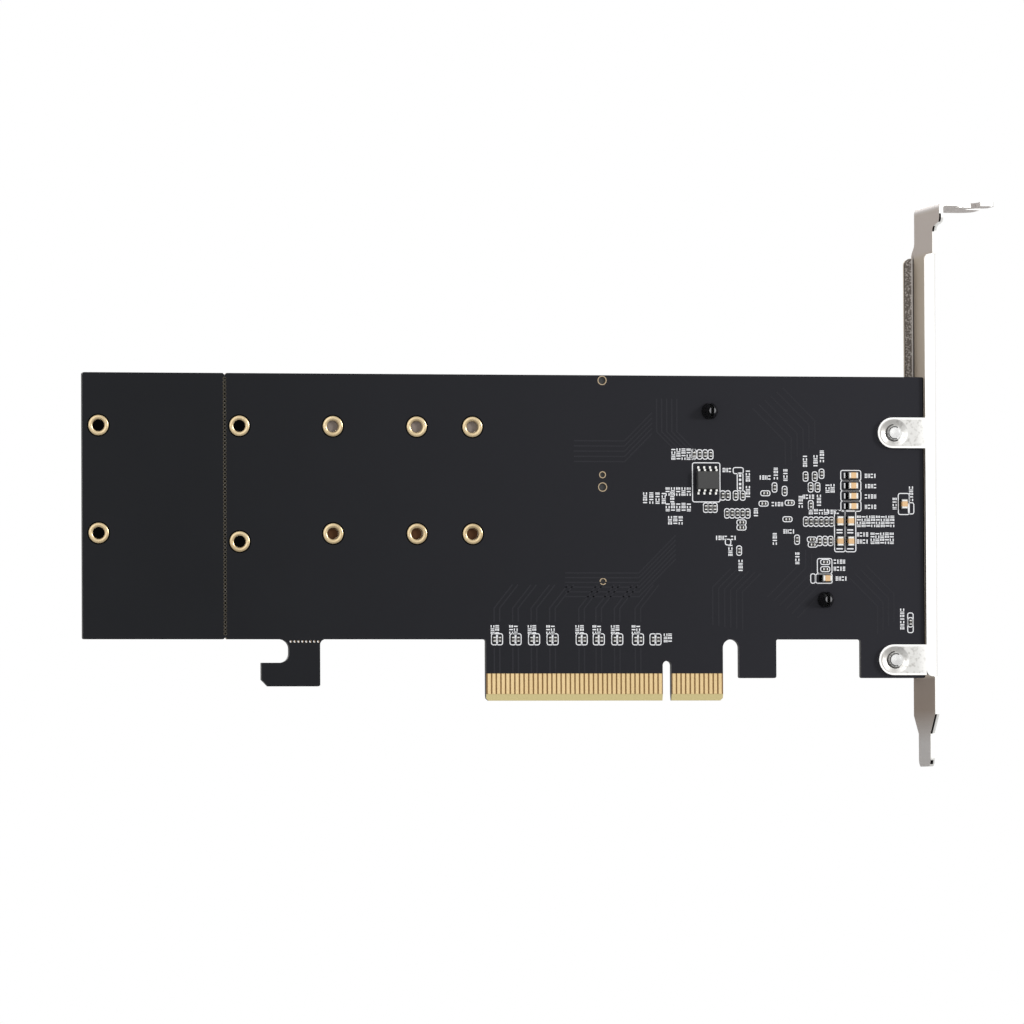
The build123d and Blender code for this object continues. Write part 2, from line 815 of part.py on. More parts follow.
with BuildPart() as bracket:
    # Plate and top tab, folded from one strip
    with BuildSketch(Plane.XZ.offset(-neck_far)) as strip:
        with Locations((plate_inner, tongue_bottom)):
            Rectangle(sheet, bracket_top - tongue_bottom, align=Align.MIN)
        with Locations((plate_inner, bracket_top - sheet)):
            Rectangle(top_tab_tip - plate_inner, sheet, align=Align.MIN)
        fillet(nearest_vertices(strip, [(plate_inner, bracket_top)]), bend_outer)
        fillet(nearest_vertices(strip, [(bracket_outer, bracket_top - sheet)]), bend_inner)
    extrude(amount=neck_far - shoulder_near)
    with BuildSketch(Plane.XZ.offset(-bracket_far)):
        with Locations((plate_inner, tongue_bottom)):
            Rectangle(sheet, neck_flare_top - tongue_bottom, align=Align.MIN)
    extrude(amount=plate_width)
    # The blank's outline, seen along X
    with BuildSketch(Plane.YZ.offset(plate_inner)) as blank:
        with BuildLine():
            Polyline(
                (bracket_far - bend_outer, flange_bottom),
                (bracket_far, flange_bottom),
                (bracket_far, taper_top),
                (bracket_middle + tongue_width / 2, taper_bottom),
                (bracket_middle + tongue_width / 2, tongue_bottom),
                (bracket_middle - tongue_width / 2, tongue_bottom),
                (bracket_middle - tongue_width / 2, taper_bottom),
                (bracket_near, taper_top),
                (bracket_near, flange_bottom),
                (bracket_near + bend_outer, flange_bottom),
                (bracket_near + bend_outer, flange_top),
                (bracket_near, flange_top),
                (bracket_near, shoulder_bottom),
            )
            ease = (shoulder_top - shoulder_bottom) * shoulder_ease
            Bezier(
                (bracket_near, shoulder_bottom),
                (bracket_near, shoulder_bottom + ease),
                (shoulder_near, shoulder_top - ease),
                (shoulder_near, shoulder_top),
            )
            Polyline(
                (shoulder_near, shoulder_top),
                (shoulder_near, bracket_top),
                (neck_far, bracket_top),
                (neck_far, neck_flare_top),
            )
            flare = (neck_flare_top - flange_top) / 2
            Bezier(
                (neck_far, neck_flare_top),
                (neck_far, neck_flare_top - flare),
                (bracket_far, flange_top + flare),
                (bracket_far, flange_top),
            )
            Polyline(
                (bracket_far, flange_top),
                (bracket_far - bend_outer, flange_top),
                (bracket_far - bend_outer, flange_bottom),
            )
        make_face()
        tongue_ends = [(bracket_middle - tongue_width / 2, tongue_bottom),
                       (bracket_middle + tongue_width / 2, tongue_bottom)]
        fillet(nearest_vertices(blank, tongue_ends), tongue_corner)
    extrude(amount=sheet + top_tab_reach, mode=Mode.INTERSECT)
    # Side flanges, bent along the plate
    with BuildSketch(Plane.XY.offset(flange_bottom)) as channel:
        with Locations((flange_edge, bracket_near)):
            Rectangle(flange_reach, plate_width, align=Align.MIN)
        outer_bends = [(bracket_outer, bracket_near), (bracket_outer, bracket_far)]
        fillet(nearest_vertices(channel, outer_bends), bend_outer)
        with Locations((flange_edge, bracket_near + sheet)):
            Rectangle(flange_reach - sheet, plate_width - 2 * sheet, align=Align.MIN, mode=Mode.SUBTRACT)
        inner_bends = [(plate_inner, bracket_near + sheet), (plate_inner, bracket_far - sheet)]
        fillet(nearest_vertices(channel, inner_bends), bend_inner)
    extrude(amount=flange_top - flange_bottom)
    with BuildSketch(Plane.XZ.offset(-bracket_far)):
        for z, step in ((flange_top, -1), (flange_bottom, 1)):
            with Locations((flange_edge + flange_corner / 2, z + step * flange_corner / 2)):
                Rectangle(flange_corner, flange_corner)
            with Locations((flange_edge + flange_corner, z + step * flange_corner)):
                Circle(flange_corner, mode=Mode.SUBTRACT)
    extrude(amount=plate_width, mode=Mode.SUBTRACT)
    # Lugs in the plane of the near flange, lying on the board
    with BuildSketch(solder_plane):
        for x, z in tab_screw_places:
            with Locations((x - tab_reach + tab_half_height, z)):
                Circle(tab_half_height)
                Rectangle(flange_edge - x + tab_reach - tab_half_height, 2 * tab_half_height,
                          align=(Align.MIN, Align.CENTER))
        with Locations(*tab_screw_places):
            Circle(tab_tapped_hole / 2, mode=Mode.SUBTRACT)
    extrude(amount=sheet)
    for x, z in tab_screw_places:
        with BuildSketch(pin_axis_plane(x, z)):
            with BuildLine():
                Polyline(
                    (0, bracket_near),
                    (tab_dimple / 2, bracket_near),
                    (tab_tapped_hole / 2, bracket_near + tab_dimple_depth),
                    (0, bracket_near + tab_dimple_depth),
                    close=True,
                )
            make_face()
        revolve(axis=Axis((x, 0, z), (0, 1, 0)), mode=Mode.SUBTRACT)
    # Screw notch and guide notch in the top tab
    with BuildSketch(Plane.XY.offset(bracket_top)) as notches:
        with Locations((bracket_outer + screw_notch_centre, shoulder_near)):
            Rectangle(
                screw_notch_width,
                2 * (screw_notch_depth - screw_notch_width / 2),
            )
        with Locations((bracket_outer + screw_notch_centre,
                        shoulder_near + screw_notch_depth - screw_notch_width / 2)):
            Circle(screw_notch_width / 2)
        with BuildLine():
            Polyline(
                (top_tab_tip, bracket_near + guide_notch_mouth_low),
                (bracket_outer + guide_notch_root_reach, bracket_near + guide_notch_root),
                (top_tab_tip, bracket_near + guide_notch_mouth_high),
                close=True,
            )
        make_face()
        root = (bracket_outer + guide_notch_root_reach, bracket_near + guide_notch_root)
        fillet(nearest_vertices(notches, [root]), guide_notch_root_radius)
    extrude(amount=-2 * sheet, mode=Mode.SUBTRACT)
    tab_side_edges = bracket.edges().filter_by(Axis.Z).group_by(Axis.X)[-1].sort_by(Axis.Y)
    fillet(tab_side_edges[-1], top_tab_corner)
    tab_side_edges = bracket.edges().filter_by(Axis.Z).group_by(Axis.X)[-1].sort_by(Axis.Y)
    fillet(tab_side_edges[0], top_tab_near_corner)
bracket.part.label = "bracket"
export_step(bracket.part, "parts/bracket.step")


# Bracket screws: pan heads on the component side, ends showing in the lugs
screw_reach = board_thickness + sheet + screw_proud

with BuildPart() as bracket_screws:
    with BuildSketch(component_plane()):
        with Locations(*mirrored(tab_screw_places)):
            small_round(screw_head / 2)
    extrude(amount=screw_head_height)
    chamfer(bracket_screws.edges().group_by(Axis.Y)[-1], screw_head_chamfer)
    with BuildSketch(component_plane()):
        with Locations(*mirrored(tab_screw_places)):
            small_round(screw_shank / 2)
    extrude(amount=-screw_reach)
    with BuildSketch(component_plane(screw_head_height)):
        with Locations(*mirrored(tab_screw_places)):
            Rectangle(cross_width, cross_length)
            Rectangle(cross_length, cross_width)
    extrude(amount=-cross_depth, mode=Mode.SUBTRACT)
bracket_screws.part.label = "bracket_screws"
export_step(bracket_screws.part, "parts/bracket_screws.step")


# Flash memory chip: a body with drafted sides and eight gull-wing leads
flash_middle = flash_standoff + flash_thickness / 2

with BuildPart() as flash_chip_body:
    for height, direction in ((flash_middle, 1), (flash_middle, -1)):
        with BuildSketch(solder_plane_at(height)):
            with Locations((flash_x, flash_z)):
                Rectangle(flash_width, flash_height)
        with BuildSketch(solder_plane_at(height + direction * flash_thickness / 2)):
            with Locations((flash_x, flash_z)):
                Rectangle(flash_width - 2 * flash_draft, flash_height - 2 * flash_draft)
        loft()
flash_chip_body.part.label = "flash_chip_body"
export_step(flash_chip_body.part, "parts/flash_chip_body.step")

lead_knee = (flash_lead_span / 2 - flash_lead_foot + flash_height / 2) / 2
first_lead = flash_x - flash_lead_pitch * (flash_leads_a_side - 1) / 2
lead_columns = [first_lead + i * flash_lead_pitch for i in range(flash_leads_a_side)]
lead_top = flash_middle + flash_lead_sheet / 2

with BuildPart() as flash_chip_leads:
    for x in lead_columns:
        for side in (-1, 1):
            with BuildSketch(Plane(origin=(x, solder_face, flash_z), x_dir=(0, 0, side), z_dir=(side, 0, 0))):
                with BuildLine():
                    Polyline(
                        (flash_height / 2, lead_top),
                        (lead_knee + flash_lead_sheet, lead_top),
                        (flash_lead_span / 2 - flash_lead_foot + flash_lead_sheet, flash_lead_sheet),
                        (flash_lead_span / 2, flash_lead_sheet),
                        (flash_lead_span / 2, 0),
                        (flash_lead_span / 2 - flash_lead_foot, 0),
                        (lead_knee, lead_top - flash_lead_sheet),
                        (flash_height / 2, lead_top - flash_lead_sheet),
                        close=True,
                    )
                make_face()
            extrude(amount=flash_lead_width / 2, both=True)
flash_chip_leads.part.label = "flash_chip_leads"
export_step(flash_chip_leads.part, "parts/flash_chip_leads.step")


# Chip capacitors and resistors of the solder side. Each place is (x, z), lying or upright.
tan_stack = [(tan_stack_x, tan_stack_top - i * tan_stack_pitch) for i in range(tan_stack_count)]
tall_stack = [
    (tall_stack_x + i * tall_stack_pitch_x, tall_stack_z + j * tall_stack_pitch_z)
    for i in (-0.5, 0.5)
    for j in (-0.5, 0.5)
]
large_lying = tan_stack + [(34.9, 25.95)]
large_upright = tall_stack + [(board_right - bracket_capacitor_inset, bracket_capacitor_z)]

# Coupling capacitors stand in pairs along the tongue
pair_places = [-36.8, -32.8, -28.8, -24.8, -18.5, -14.8, -10.8, -6.3, -2.5]
pair_line = board_base
upright_rows = [
    # first x, last x, z
    (6.1, 9.7, 52.2),
    (8.6, 10.55, 40.9),
    (12.3, 13.4, 43.5),
    (15.1, 16.65, 43.5),
    (13.2, 17.7, 39.7),
    (30.4, 30.4, 47.6),
    (32.4, 32.4, 47.6),
    (33.9, 33.9, 48.2),
    (31.5, 33.0, 45.3),
    (31.5, 31.5, 41.5),
    (30.4, 36.0, 38.0),
    (33.4, 35.8, 33.9),
    (28.45, 28.45, 34.15),
    (23.6, 23.6, 45.25),
    (25.8, 25.8, 44.5),
    (15.8, 15.8, 31.8),
    (53.2, 53.2, 16.6),
]
lying_places = [
    (16.35, 37.8),
    (16.35, 36.7),
    (21.6, 44.0),
    (21.2, 41.8),
    (26.9, 42.0),
    (26.4, 38.5),
    (31.7, 34.2),
    (31.9, 33.1),
    (34.6, 29.4),
    (34.6, 27.9),
]


def spread(first, last):
    """Places from first to last, as many as fit at about the usual pitch."""
    gaps = round((last - first) / small_pitch)
    return [first + i * (last - first) / max(gaps, 1) for i in range(gaps + 1)]


small_upright = [(x, z) for first, last, z in upright_rows for x in spread(first, last)]
small_upright += [(x + side * pair_pitch / 2, pair_line) for x in pair_places for side in (-1, 1)]


def chip_middles(plane, places, length, width, upright):
    """Footprints of the ceramic middles of a group of chips on one face."""
    middle = length * (1 - 2 * chip_end_share)
    with BuildSketch(plane) as footprints:
        with Locations(*places):
            Rectangle(width if upright else middle, middle if upright else width)
    return footprints.sketch


def chip_caps(plane, places, length, width, upright):
    """Footprints of the tinned ends of a group of chips, butting on the ceramic."""
    cap = length * chip_end_share
    shift = (length - cap) / 2
    with BuildSketch(plane) as footprints:
        for side in (-1, 1):
            offset = (0, side * shift) if upright else (side * shift, 0)
            with Locations(*[(x + offset[0], z + offset[1]) for x, z in places]):
                Rectangle(width if upright else cap, cap if upright else width)
    return footprints.sketch


large_size = (large_length, large_width)
small_size = (small_length, small_width)

with BuildPart() as large_capacitor_bodies:
    extrude(chip_middles(solder_plane, large_lying, *large_size, False), amount=large_thickness)
    extrude(chip_middles(solder_plane, large_upright, *large_size, True), amount=large_thickness)
large_capacitor_bodies.part.label = "large_capacitor_bodies"
export_step(large_capacitor_bodies.part, "parts/large_capacitor_bodies.step")

with BuildPart() as large_capacitor_ends:
    extrude(chip_caps(solder_plane, large_lying, *large_size, False), amount=large_thickness)
    extrude(chip_caps(solder_plane, large_upright, *large_size, True), amount=large_thickness)
large_capacitor_ends.part.label = "large_capacitor_ends"
export_step(large_capacitor_ends.part, "parts/large_capacitor_ends.step")


def chip_blocks(plane, places, length, width, upright):
    """Footprints of a group of small chips, each one fired block with tinned ends."""
    with BuildSketch(plane) as footprints:
        with Locations(*places):
            Rectangle(width if upright else length, length if upright else width)
    return footprints.sketch


with BuildPart() as small_chips:
    extrude(chip_blocks(solder_plane, lying_places, *small_size, False), amount=small_thickness)
    extrude(chip_blocks(solder_plane, small_upright, *small_size, True), amount=small_thickness)
small_chips.part.label = "small_chips"
export_step(small_chips.part, "parts/small_chips.step")


# Power inductor: a square pressed body with its corners cut
with BuildPart() as power_inductor:
    with BuildSketch(component_plane()):
        with Locations((-inductor_x, inductor_z)):
            Rectangle(inductor_size, inductor_size)
    extrude(amount=inductor_height)
    chamfer(power_inductor.edges().filter_by(Axis.Y), inductor_corner)
    chamfer(power_inductor.edges().group_by(Axis.Y)[-1], inductor_chamfer)
power_inductor.part.label = "power_inductor"
export_step(power_inductor.part, "parts/power_inductor.step")

with BuildPart() as regulator_chip:
    with BuildSketch(component_plane()):
        with Locations((-regulator_x, regulator_z)):
            Rectangle(regulator_size, regulator_size)
    extrude(amount=regulator_thickness)
    chamfer(regulator_chip.edges().filter_by(Axis.Y)[0], regulator_chamfer)
regulator_chip.part.label = "regulator_chip"
export_step(regulator_chip.part, "parts/regulator_chip.step")

bulk_places = mirrored([(bulk_x, bulk_z - i * bulk_pitch) for i in range(bulk_count)])
bulk_size = (bulk_length, bulk_width)

with BuildPart() as bulk_capacitor_bodies:
    extrude(chip_middles(component_plane(), bulk_places, *bulk_size, False), amount=bulk_thickness)
bulk_capacitor_bodies.part.label = "bulk_capacitor_bodies"
export_step(bulk_capacitor_bodies.part, "parts/bulk_capacitor_bodies.step")

with BuildPart() as bulk_capacitor_ends:
    extrude(chip_caps(component_plane(), bulk_places, *bulk_size, False), amount=bulk_thickness)
bulk_capacitor_ends.part.label = "bulk_capacitor_ends"
export_step(bulk_capacitor_ends.part, "parts/bulk_capacitor_ends.step")

# Crystal: a ceramic base with a welded metal lid
with BuildPart() as crystal_base_tray:
    with BuildSketch(component_plane()):
        with Locations((-crystal_x, crystal_z)):
            Rectangle(crystal_length, crystal_width)
    extrude(amount=crystal_base)
crystal_base_tray.part.label = "crystal_base_tray"
export_step(crystal_base_tray.part, "parts/crystal_base_tray.step")

with BuildPart() as crystal_lid_cap:
    with BuildSketch(component_plane(crystal_base)):
        with Locations((-crystal_x, crystal_z)):
            Rectangle(crystal_length - crystal_base, crystal_width - crystal_base)
    extrude(amount=crystal_lid)
crystal_lid_cap.part.label = "crystal_lid_cap"
export_step(crystal_lid_cap.part, "parts/crystal_lid_cap.step")

# Activity lamps, one for each drive
lamp_x = board_right - lamp_inset

with BuildPart() as activity_lamps:
    with BuildSketch(component_plane()):
        with Locations(*mirrored([(lamp_x, lamp_z), (lamp_x, lamp_z + lamp_pitch)])):
            Rectangle(lamp_length, lamp_width)
    extrude(amount=lamp_thickness)
activity_lamps.part.label = "activity_lamps"
export_step(activity_lamps.part, "parts/activity_lamps.step")
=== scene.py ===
"""Looks of an expansion card for two solid-state drives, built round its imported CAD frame.

Lengths in this script are millimetres in the frame's axes, and `millimetre` turns them into the
metres that Blender takes. X runs to the bracket, Y from the solder side to the component side,
Z up.
"""
from math import cos, radians, sin

import bpy
import numpy as np
from mathutils import Matrix, Vector


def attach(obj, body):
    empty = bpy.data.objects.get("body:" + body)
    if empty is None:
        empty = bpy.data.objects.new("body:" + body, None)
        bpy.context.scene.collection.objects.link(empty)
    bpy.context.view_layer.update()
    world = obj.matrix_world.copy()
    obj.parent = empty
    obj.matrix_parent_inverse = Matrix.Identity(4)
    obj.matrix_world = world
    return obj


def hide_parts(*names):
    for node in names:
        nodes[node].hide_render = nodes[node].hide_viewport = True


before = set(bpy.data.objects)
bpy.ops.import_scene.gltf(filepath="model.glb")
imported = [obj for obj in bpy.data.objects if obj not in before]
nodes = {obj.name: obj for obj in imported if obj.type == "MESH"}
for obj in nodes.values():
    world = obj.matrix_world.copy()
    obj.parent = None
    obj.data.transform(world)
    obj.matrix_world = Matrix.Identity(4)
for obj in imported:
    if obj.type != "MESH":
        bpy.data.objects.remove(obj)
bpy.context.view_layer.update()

millimetre = 0.001

# Sizes shared with the card's own frame
board_half = 1.57 / 2
board_base, board_top = 12.95, 68.9
tongue_left = -39.15
rows = (57.8, 35.2)
columns = (-41.9, -53.9, -71.9, -91.9, -121.9)
lower_2280_offset = -1.74
open_holes = [(x, z) for x in columns[:3] for z in rows]
closed_holes = [(columns[3], rows[0]), (columns[3], rows[1] + lower_2280_offset),
                (columns[4], rows[0]), (columns[4], rows[1])]
break_line_x, break_pitch, break_count = -95.0, 0.8, 68
socket_x, peg_reach = -13.8, 10.0
tab_screws = [(49.75, 56.97), (49.75, 8.6)]


# Meshes

def add_piece(name, vertices, faces, material, slot, smooth=False, stands_for=()):
    """Puts a surface given in millimetres into the scene, riding on the card."""
    mesh = bpy.data.meshes.new(name)
    points = (np.asarray(vertices, float) * millimetre).tolist()
    mesh.from_pydata(points, [], [list(map(int, face)) for face in faces])
    mesh.update()
    mesh.polygons.foreach_set("use_smooth", np.full(len(mesh.polygons), smooth))
    piece = bpy.data.objects.new(name, mesh)
    bpy.context.scene.collection.objects.link(piece)
    piece.data.materials.append(material)
    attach(piece, "root")
    if stands_for:
        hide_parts(*stands_for)
    return piece


def onto_side(points, side):
    """Points (across, up, height) on a face of the board as X, Y, Z. Across is X on the solder
    side (side -1) and -X on the component side (side 1), so that faces keep their outward turn."""
    across, up, height = np.moveaxis(np.asarray(points, float), -1, 0)
    return np.stack([-side * across, side * (board_half + height), up], axis=-1)


def joined(parts):
    """Several (vertices, faces) surfaces of quads as one."""
    starts = np.cumsum([0] + [len(v) for v, f in parts[:-1]])
    return (np.concatenate([v for v, f in parts]),
            np.concatenate([f + start for (v, f), start in zip(parts, starts)]))


def grid_faces(rows_count, columns_count, wrap_rows, wrap_columns):
    """Quads between neighbours of a grid of points, closed on itself along either way."""
    i = np.arange(rows_count if wrap_rows else rows_count - 1)
    j = np.arange(columns_count if wrap_columns else columns_count - 1)
    i, j = (a.ravel() for a in np.meshgrid(i, j, indexing="ij"))
    below, beside = (i + 1) % rows_count, (j + 1) % columns_count
    return np.stack([i * columns_count + j, i * columns_count + beside,
                     below * columns_count + beside, below * columns_count + j], axis=1)


def blocks(places, size, height, bevel=0.0, side=-1, base=0.0):
    """Blocks on a face of the board. Each is three rectangles stacked up from the board: the
    foot, the same at height minus bevel, and the top, smaller by the bevel all round."""
    places = np.asarray(places, float).reshape(-1, 2)
    size = np.broadcast_to(np.asarray(size, float), places.shape)
    corner = np.array([(-1, -1), (1, -1), (1, 1), (-1, 1)]) / 2
    levels = [(0.0, base), (0.0, base + height - bevel), (bevel, base + height)]
    if bevel == 0.0:
        levels = levels[::2]
    rings = []
    for inset, level in levels:
        flat = places[:, None, :] + corner * (size - 2 * inset)[:, None, :]
        rings.append(np.concatenate([flat * (-side, 1), np.full(flat.shape[:2] + (1,), level)], axis=2))
    points = np.stack(rings, axis=1)
    if side > 0:
        points = points[:, :, ::-1]
    count = len(levels)
    shell = np.concatenate([grid_faces(count, 4, False, True),
                            [[3, 2, 1, 0]], [np.arange(4) + 4 * (count - 1)]])
    faces = (shell[None] + 4 * count * np.arange(len(places))[:, None, None]).reshape(-1, 4)
    return onto_side(points.reshape(-1, 3), side), faces


def turned_rings(places, profile, segments=40, side=-1):
    """Rings turned round an axis square to the board. The profile is a closed loop of
    (radius, height), and every point of it goes round the place on a circle."""
    angle = np.linspace(0, 2 * np.pi, segments, endpoint=False)[:, None]
    radius, height = np.asarray(profile, float).T
    ring = np.stack([np.cos(angle) * radius, np.sin(angle) * radius,
                     np.broadcast_to(height, (segments, len(radius)))], axis=-1).reshape(-1, 3)
    faces = grid_faces(segments, len(profile), True, True)
    parts = []
    for x, z in places:
        parts.append((onto_side(ring + (-side * x, z, 0), side), faces))
    return joined(parts)


def turned_discs(places, profile, segments=40, side=-1):
    """Solids turned round an axis square to the board: an open profile of (radius, height)
    from the lower pole to the upper one, closed at each pole by a flat cap of that radius."""
    angle = np.linspace(0, 2 * np.pi, segments, endpoint=False)[:, None]
    radius, height = np.asarray(profile, float).T
    ring = np.stack([np.cos(angle) * radius, np.sin(angle) * radius,
                     np.broadcast_to(height, (segments, len(radius)))], axis=-1).reshape(-1, 3)
    count = len(profile)
    walls = grid_faces(segments, count, True, False)[:, ::-1].tolist()
    walls.append((np.arange(segments)[::-1] * count).tolist())
    walls.append((np.arange(segments) * count + count - 1).tolist())
    vertices, faces = [], []
    for x, z in places:
        start = len(vertices) * segments * count
        vertices.append(onto_side(ring + (-side * x, z, 0), side))
        faces += [[start + k for k in face] for face in walls]
    return np.concatenate(vertices), faces


def outlines(frames, line, height, corner=0.25, side=-1):
    """Printed outlines. Each is a rounded rectangle (x, z, width, height) drawn with a line: its
    corner arcs are swept round four centres, and the line's section is a flat rectangle."""
    quarter = np.linspace(0, np.pi / 2, 4)
    parts = []
    for x, z, width, tall in frames:
        bend = min(corner, width / 2.2, tall / 2.2)
        arcs = []
        for k, (sx, sz) in enumerate(((1, 1), (-1, 1), (-1, -1), (1, -1))):
            turn = quarter + k * np.pi / 2
            centre = np.array([sx * (width / 2 - bend), sz * (tall / 2 - bend)])
            middle = np.broadcast_to(centre, (len(turn), 2))
            arcs.append(np.column_stack([middle, np.cos(turn), np.sin(turn)]))
        arcs = np.concatenate(arcs)
        inner, outer = bend - line / 2, bend + line / 2
        section = [(inner, 0.0), (outer, 0.0), (outer, height), (inner, height)]
        loop = np.stack([np.column_stack([arcs[:, :2] + arcs[:, 2:] * r, np.full(len(arcs), level)])
                         for r, level in section], axis=1)
        loop = loop.reshape(-1, 3) + (-side * x, z, 0)
        parts.append((onto_side(loop, side), grid_faces(len(arcs), 4, True, True)))
    return joined(parts)


def ribbons(paths, width, height, side=-1, base=0.0):
    """Tracks along paths of (x, z) points. At each point the track's edge lies half its width
    out along the mitre, which halves the bend there; its section is a flat rectangle that
    starts at the base height."""
    parts = []
    for path in paths:
        line = np.asarray(path, float) * (-side, 1)
        run = np.diff(line, axis=0)
        run /= np.linalg.norm(run, axis=1)[:, None]
        before, after = np.vstack([run[:1], run]), np.vstack([run, run[-1:]])
        mitre = before + after
        mitre /= np.linalg.norm(mitre, axis=1)[:, None]
        normal = np.column_stack([-mitre[:, 1], mitre[:, 0]])
        reach = width / 2 / np.einsum("ij,ij->i", mitre, before)
        left, right = line + normal * reach[:, None], line - normal * reach[:, None]
        low, high = np.full((len(line), 1), base), np.full((len(line), 1), base + height)
        points = np.stack([np.hstack([left, low]), np.hstack([right, low]),
                           np.hstack([right, high]), np.hstack([left, high])], axis=1).reshape(-1, 3)
        faces = np.vstack([grid_faces(len(line), 4, False, True)[:, ::-1], [[0, 1, 2, 3]],
                           [np.arange(4)[::-1] + 4 * (len(line) - 1)]])
        parts.append((onto_side(points, side), faces))
    return joined(parts)


# Materials

def new_group(name, inputs, outputs):
    """A shader group with sockets (name, type, value) in and (name, type) out."""
    group = bpy.data.node_groups.new(name, "ShaderNodeTree")
    for label, kind, value in inputs:
        socket = group.interface.new_socket(name=label, in_out="INPUT", socket_type=kind)
        socket.default_value = value
    for label, kind in outputs:
        group.interface.new_socket(name=label, in_out="OUTPUT", socket_type=kind)
    return group, group.nodes.new("NodeGroupInput"), group.nodes.new("NodeGroupOutput")


def grain_group():
    """Fine surface grain: noise at a given scale gives a height, a roughness and a colour."""
    group, entry, out = new_group(
        "surface_grain",
        [("Scale", "NodeSocketFloat", 800.0), ("Roughness", "NodeSocketFloat", 0.5),
         ("Roughness Spread", "NodeSocketFloat", 0.1), ("Dark", "NodeSocketColor", (0, 0, 0, 1)),
         ("Light", "NodeSocketColor", (1, 1, 1, 1))],
        [("Color", "NodeSocketColor"), ("Roughness", "NodeSocketFloat"), ("Height", "NodeSocketFloat")])
    links = group.links
    place = group.nodes.new("ShaderNodeTexCoord")
    fine, broad = (group.nodes.new("ShaderNodeTexNoise") for _ in range(2))
    fine.inputs["Detail"].default_value = 3.0
    broad.inputs["Detail"].default_value = 4.0
    slower = group.nodes.new("ShaderNodeMath")
    slower.operation = "MULTIPLY"
    slower.inputs[1].default_value = 0.08
    links.new(entry.outputs["Scale"], slower.inputs[0])
    links.new(place.outputs["Object"], fine.inputs["Vector"])
    links.new(place.outputs["Object"], broad.inputs["Vector"])
    links.new(entry.outputs["Scale"], fine.inputs["Scale"])
    links.new(slower.outputs[0], broad.inputs["Scale"])
    mix = group.nodes.new("ShaderNodeMix")
    mix.data_type = "RGBA"
    links.new(broad.outputs["Fac"], mix.inputs["Factor"])
    links.new(entry.outputs["Dark"], mix.inputs["A"])
    links.new(entry.outputs["Light"], mix.inputs["B"])
    centred = group.nodes.new("ShaderNodeMath")
    centred.operation = "SUBTRACT"
    centred.inputs[1].default_value = 0.5
    links.new(broad.outputs["Fac"], centred.inputs[0])
    spread = group.nodes.new("ShaderNodeMath")
    spread.operation = "MULTIPLY_ADD"
    links.new(centred.outputs[0], spread.inputs[0])
    links.new(entry.outputs["Roughness Spread"], spread.inputs[1])
    links.new(entry.outputs["Roughness"], spread.inputs[2])
    links.new(mix.outputs["Result"], out.inputs["Color"])
    links.new(spread.outputs[0], out.inputs["Roughness"])
    links.new(fine.outputs["Fac"], out.inputs["Height"])
    return group


surface_grain = grain_group()


def linear(colour):
    """An sRGB colour of 0 to 255 as the linear colour that a shader takes."""
    share = np.asarray(colour, float) / 255
    return tuple(np.where(share <= 0.04045, share / 12.92, ((share + 0.055) / 1.055) ** 2.4)) + (1.0,)


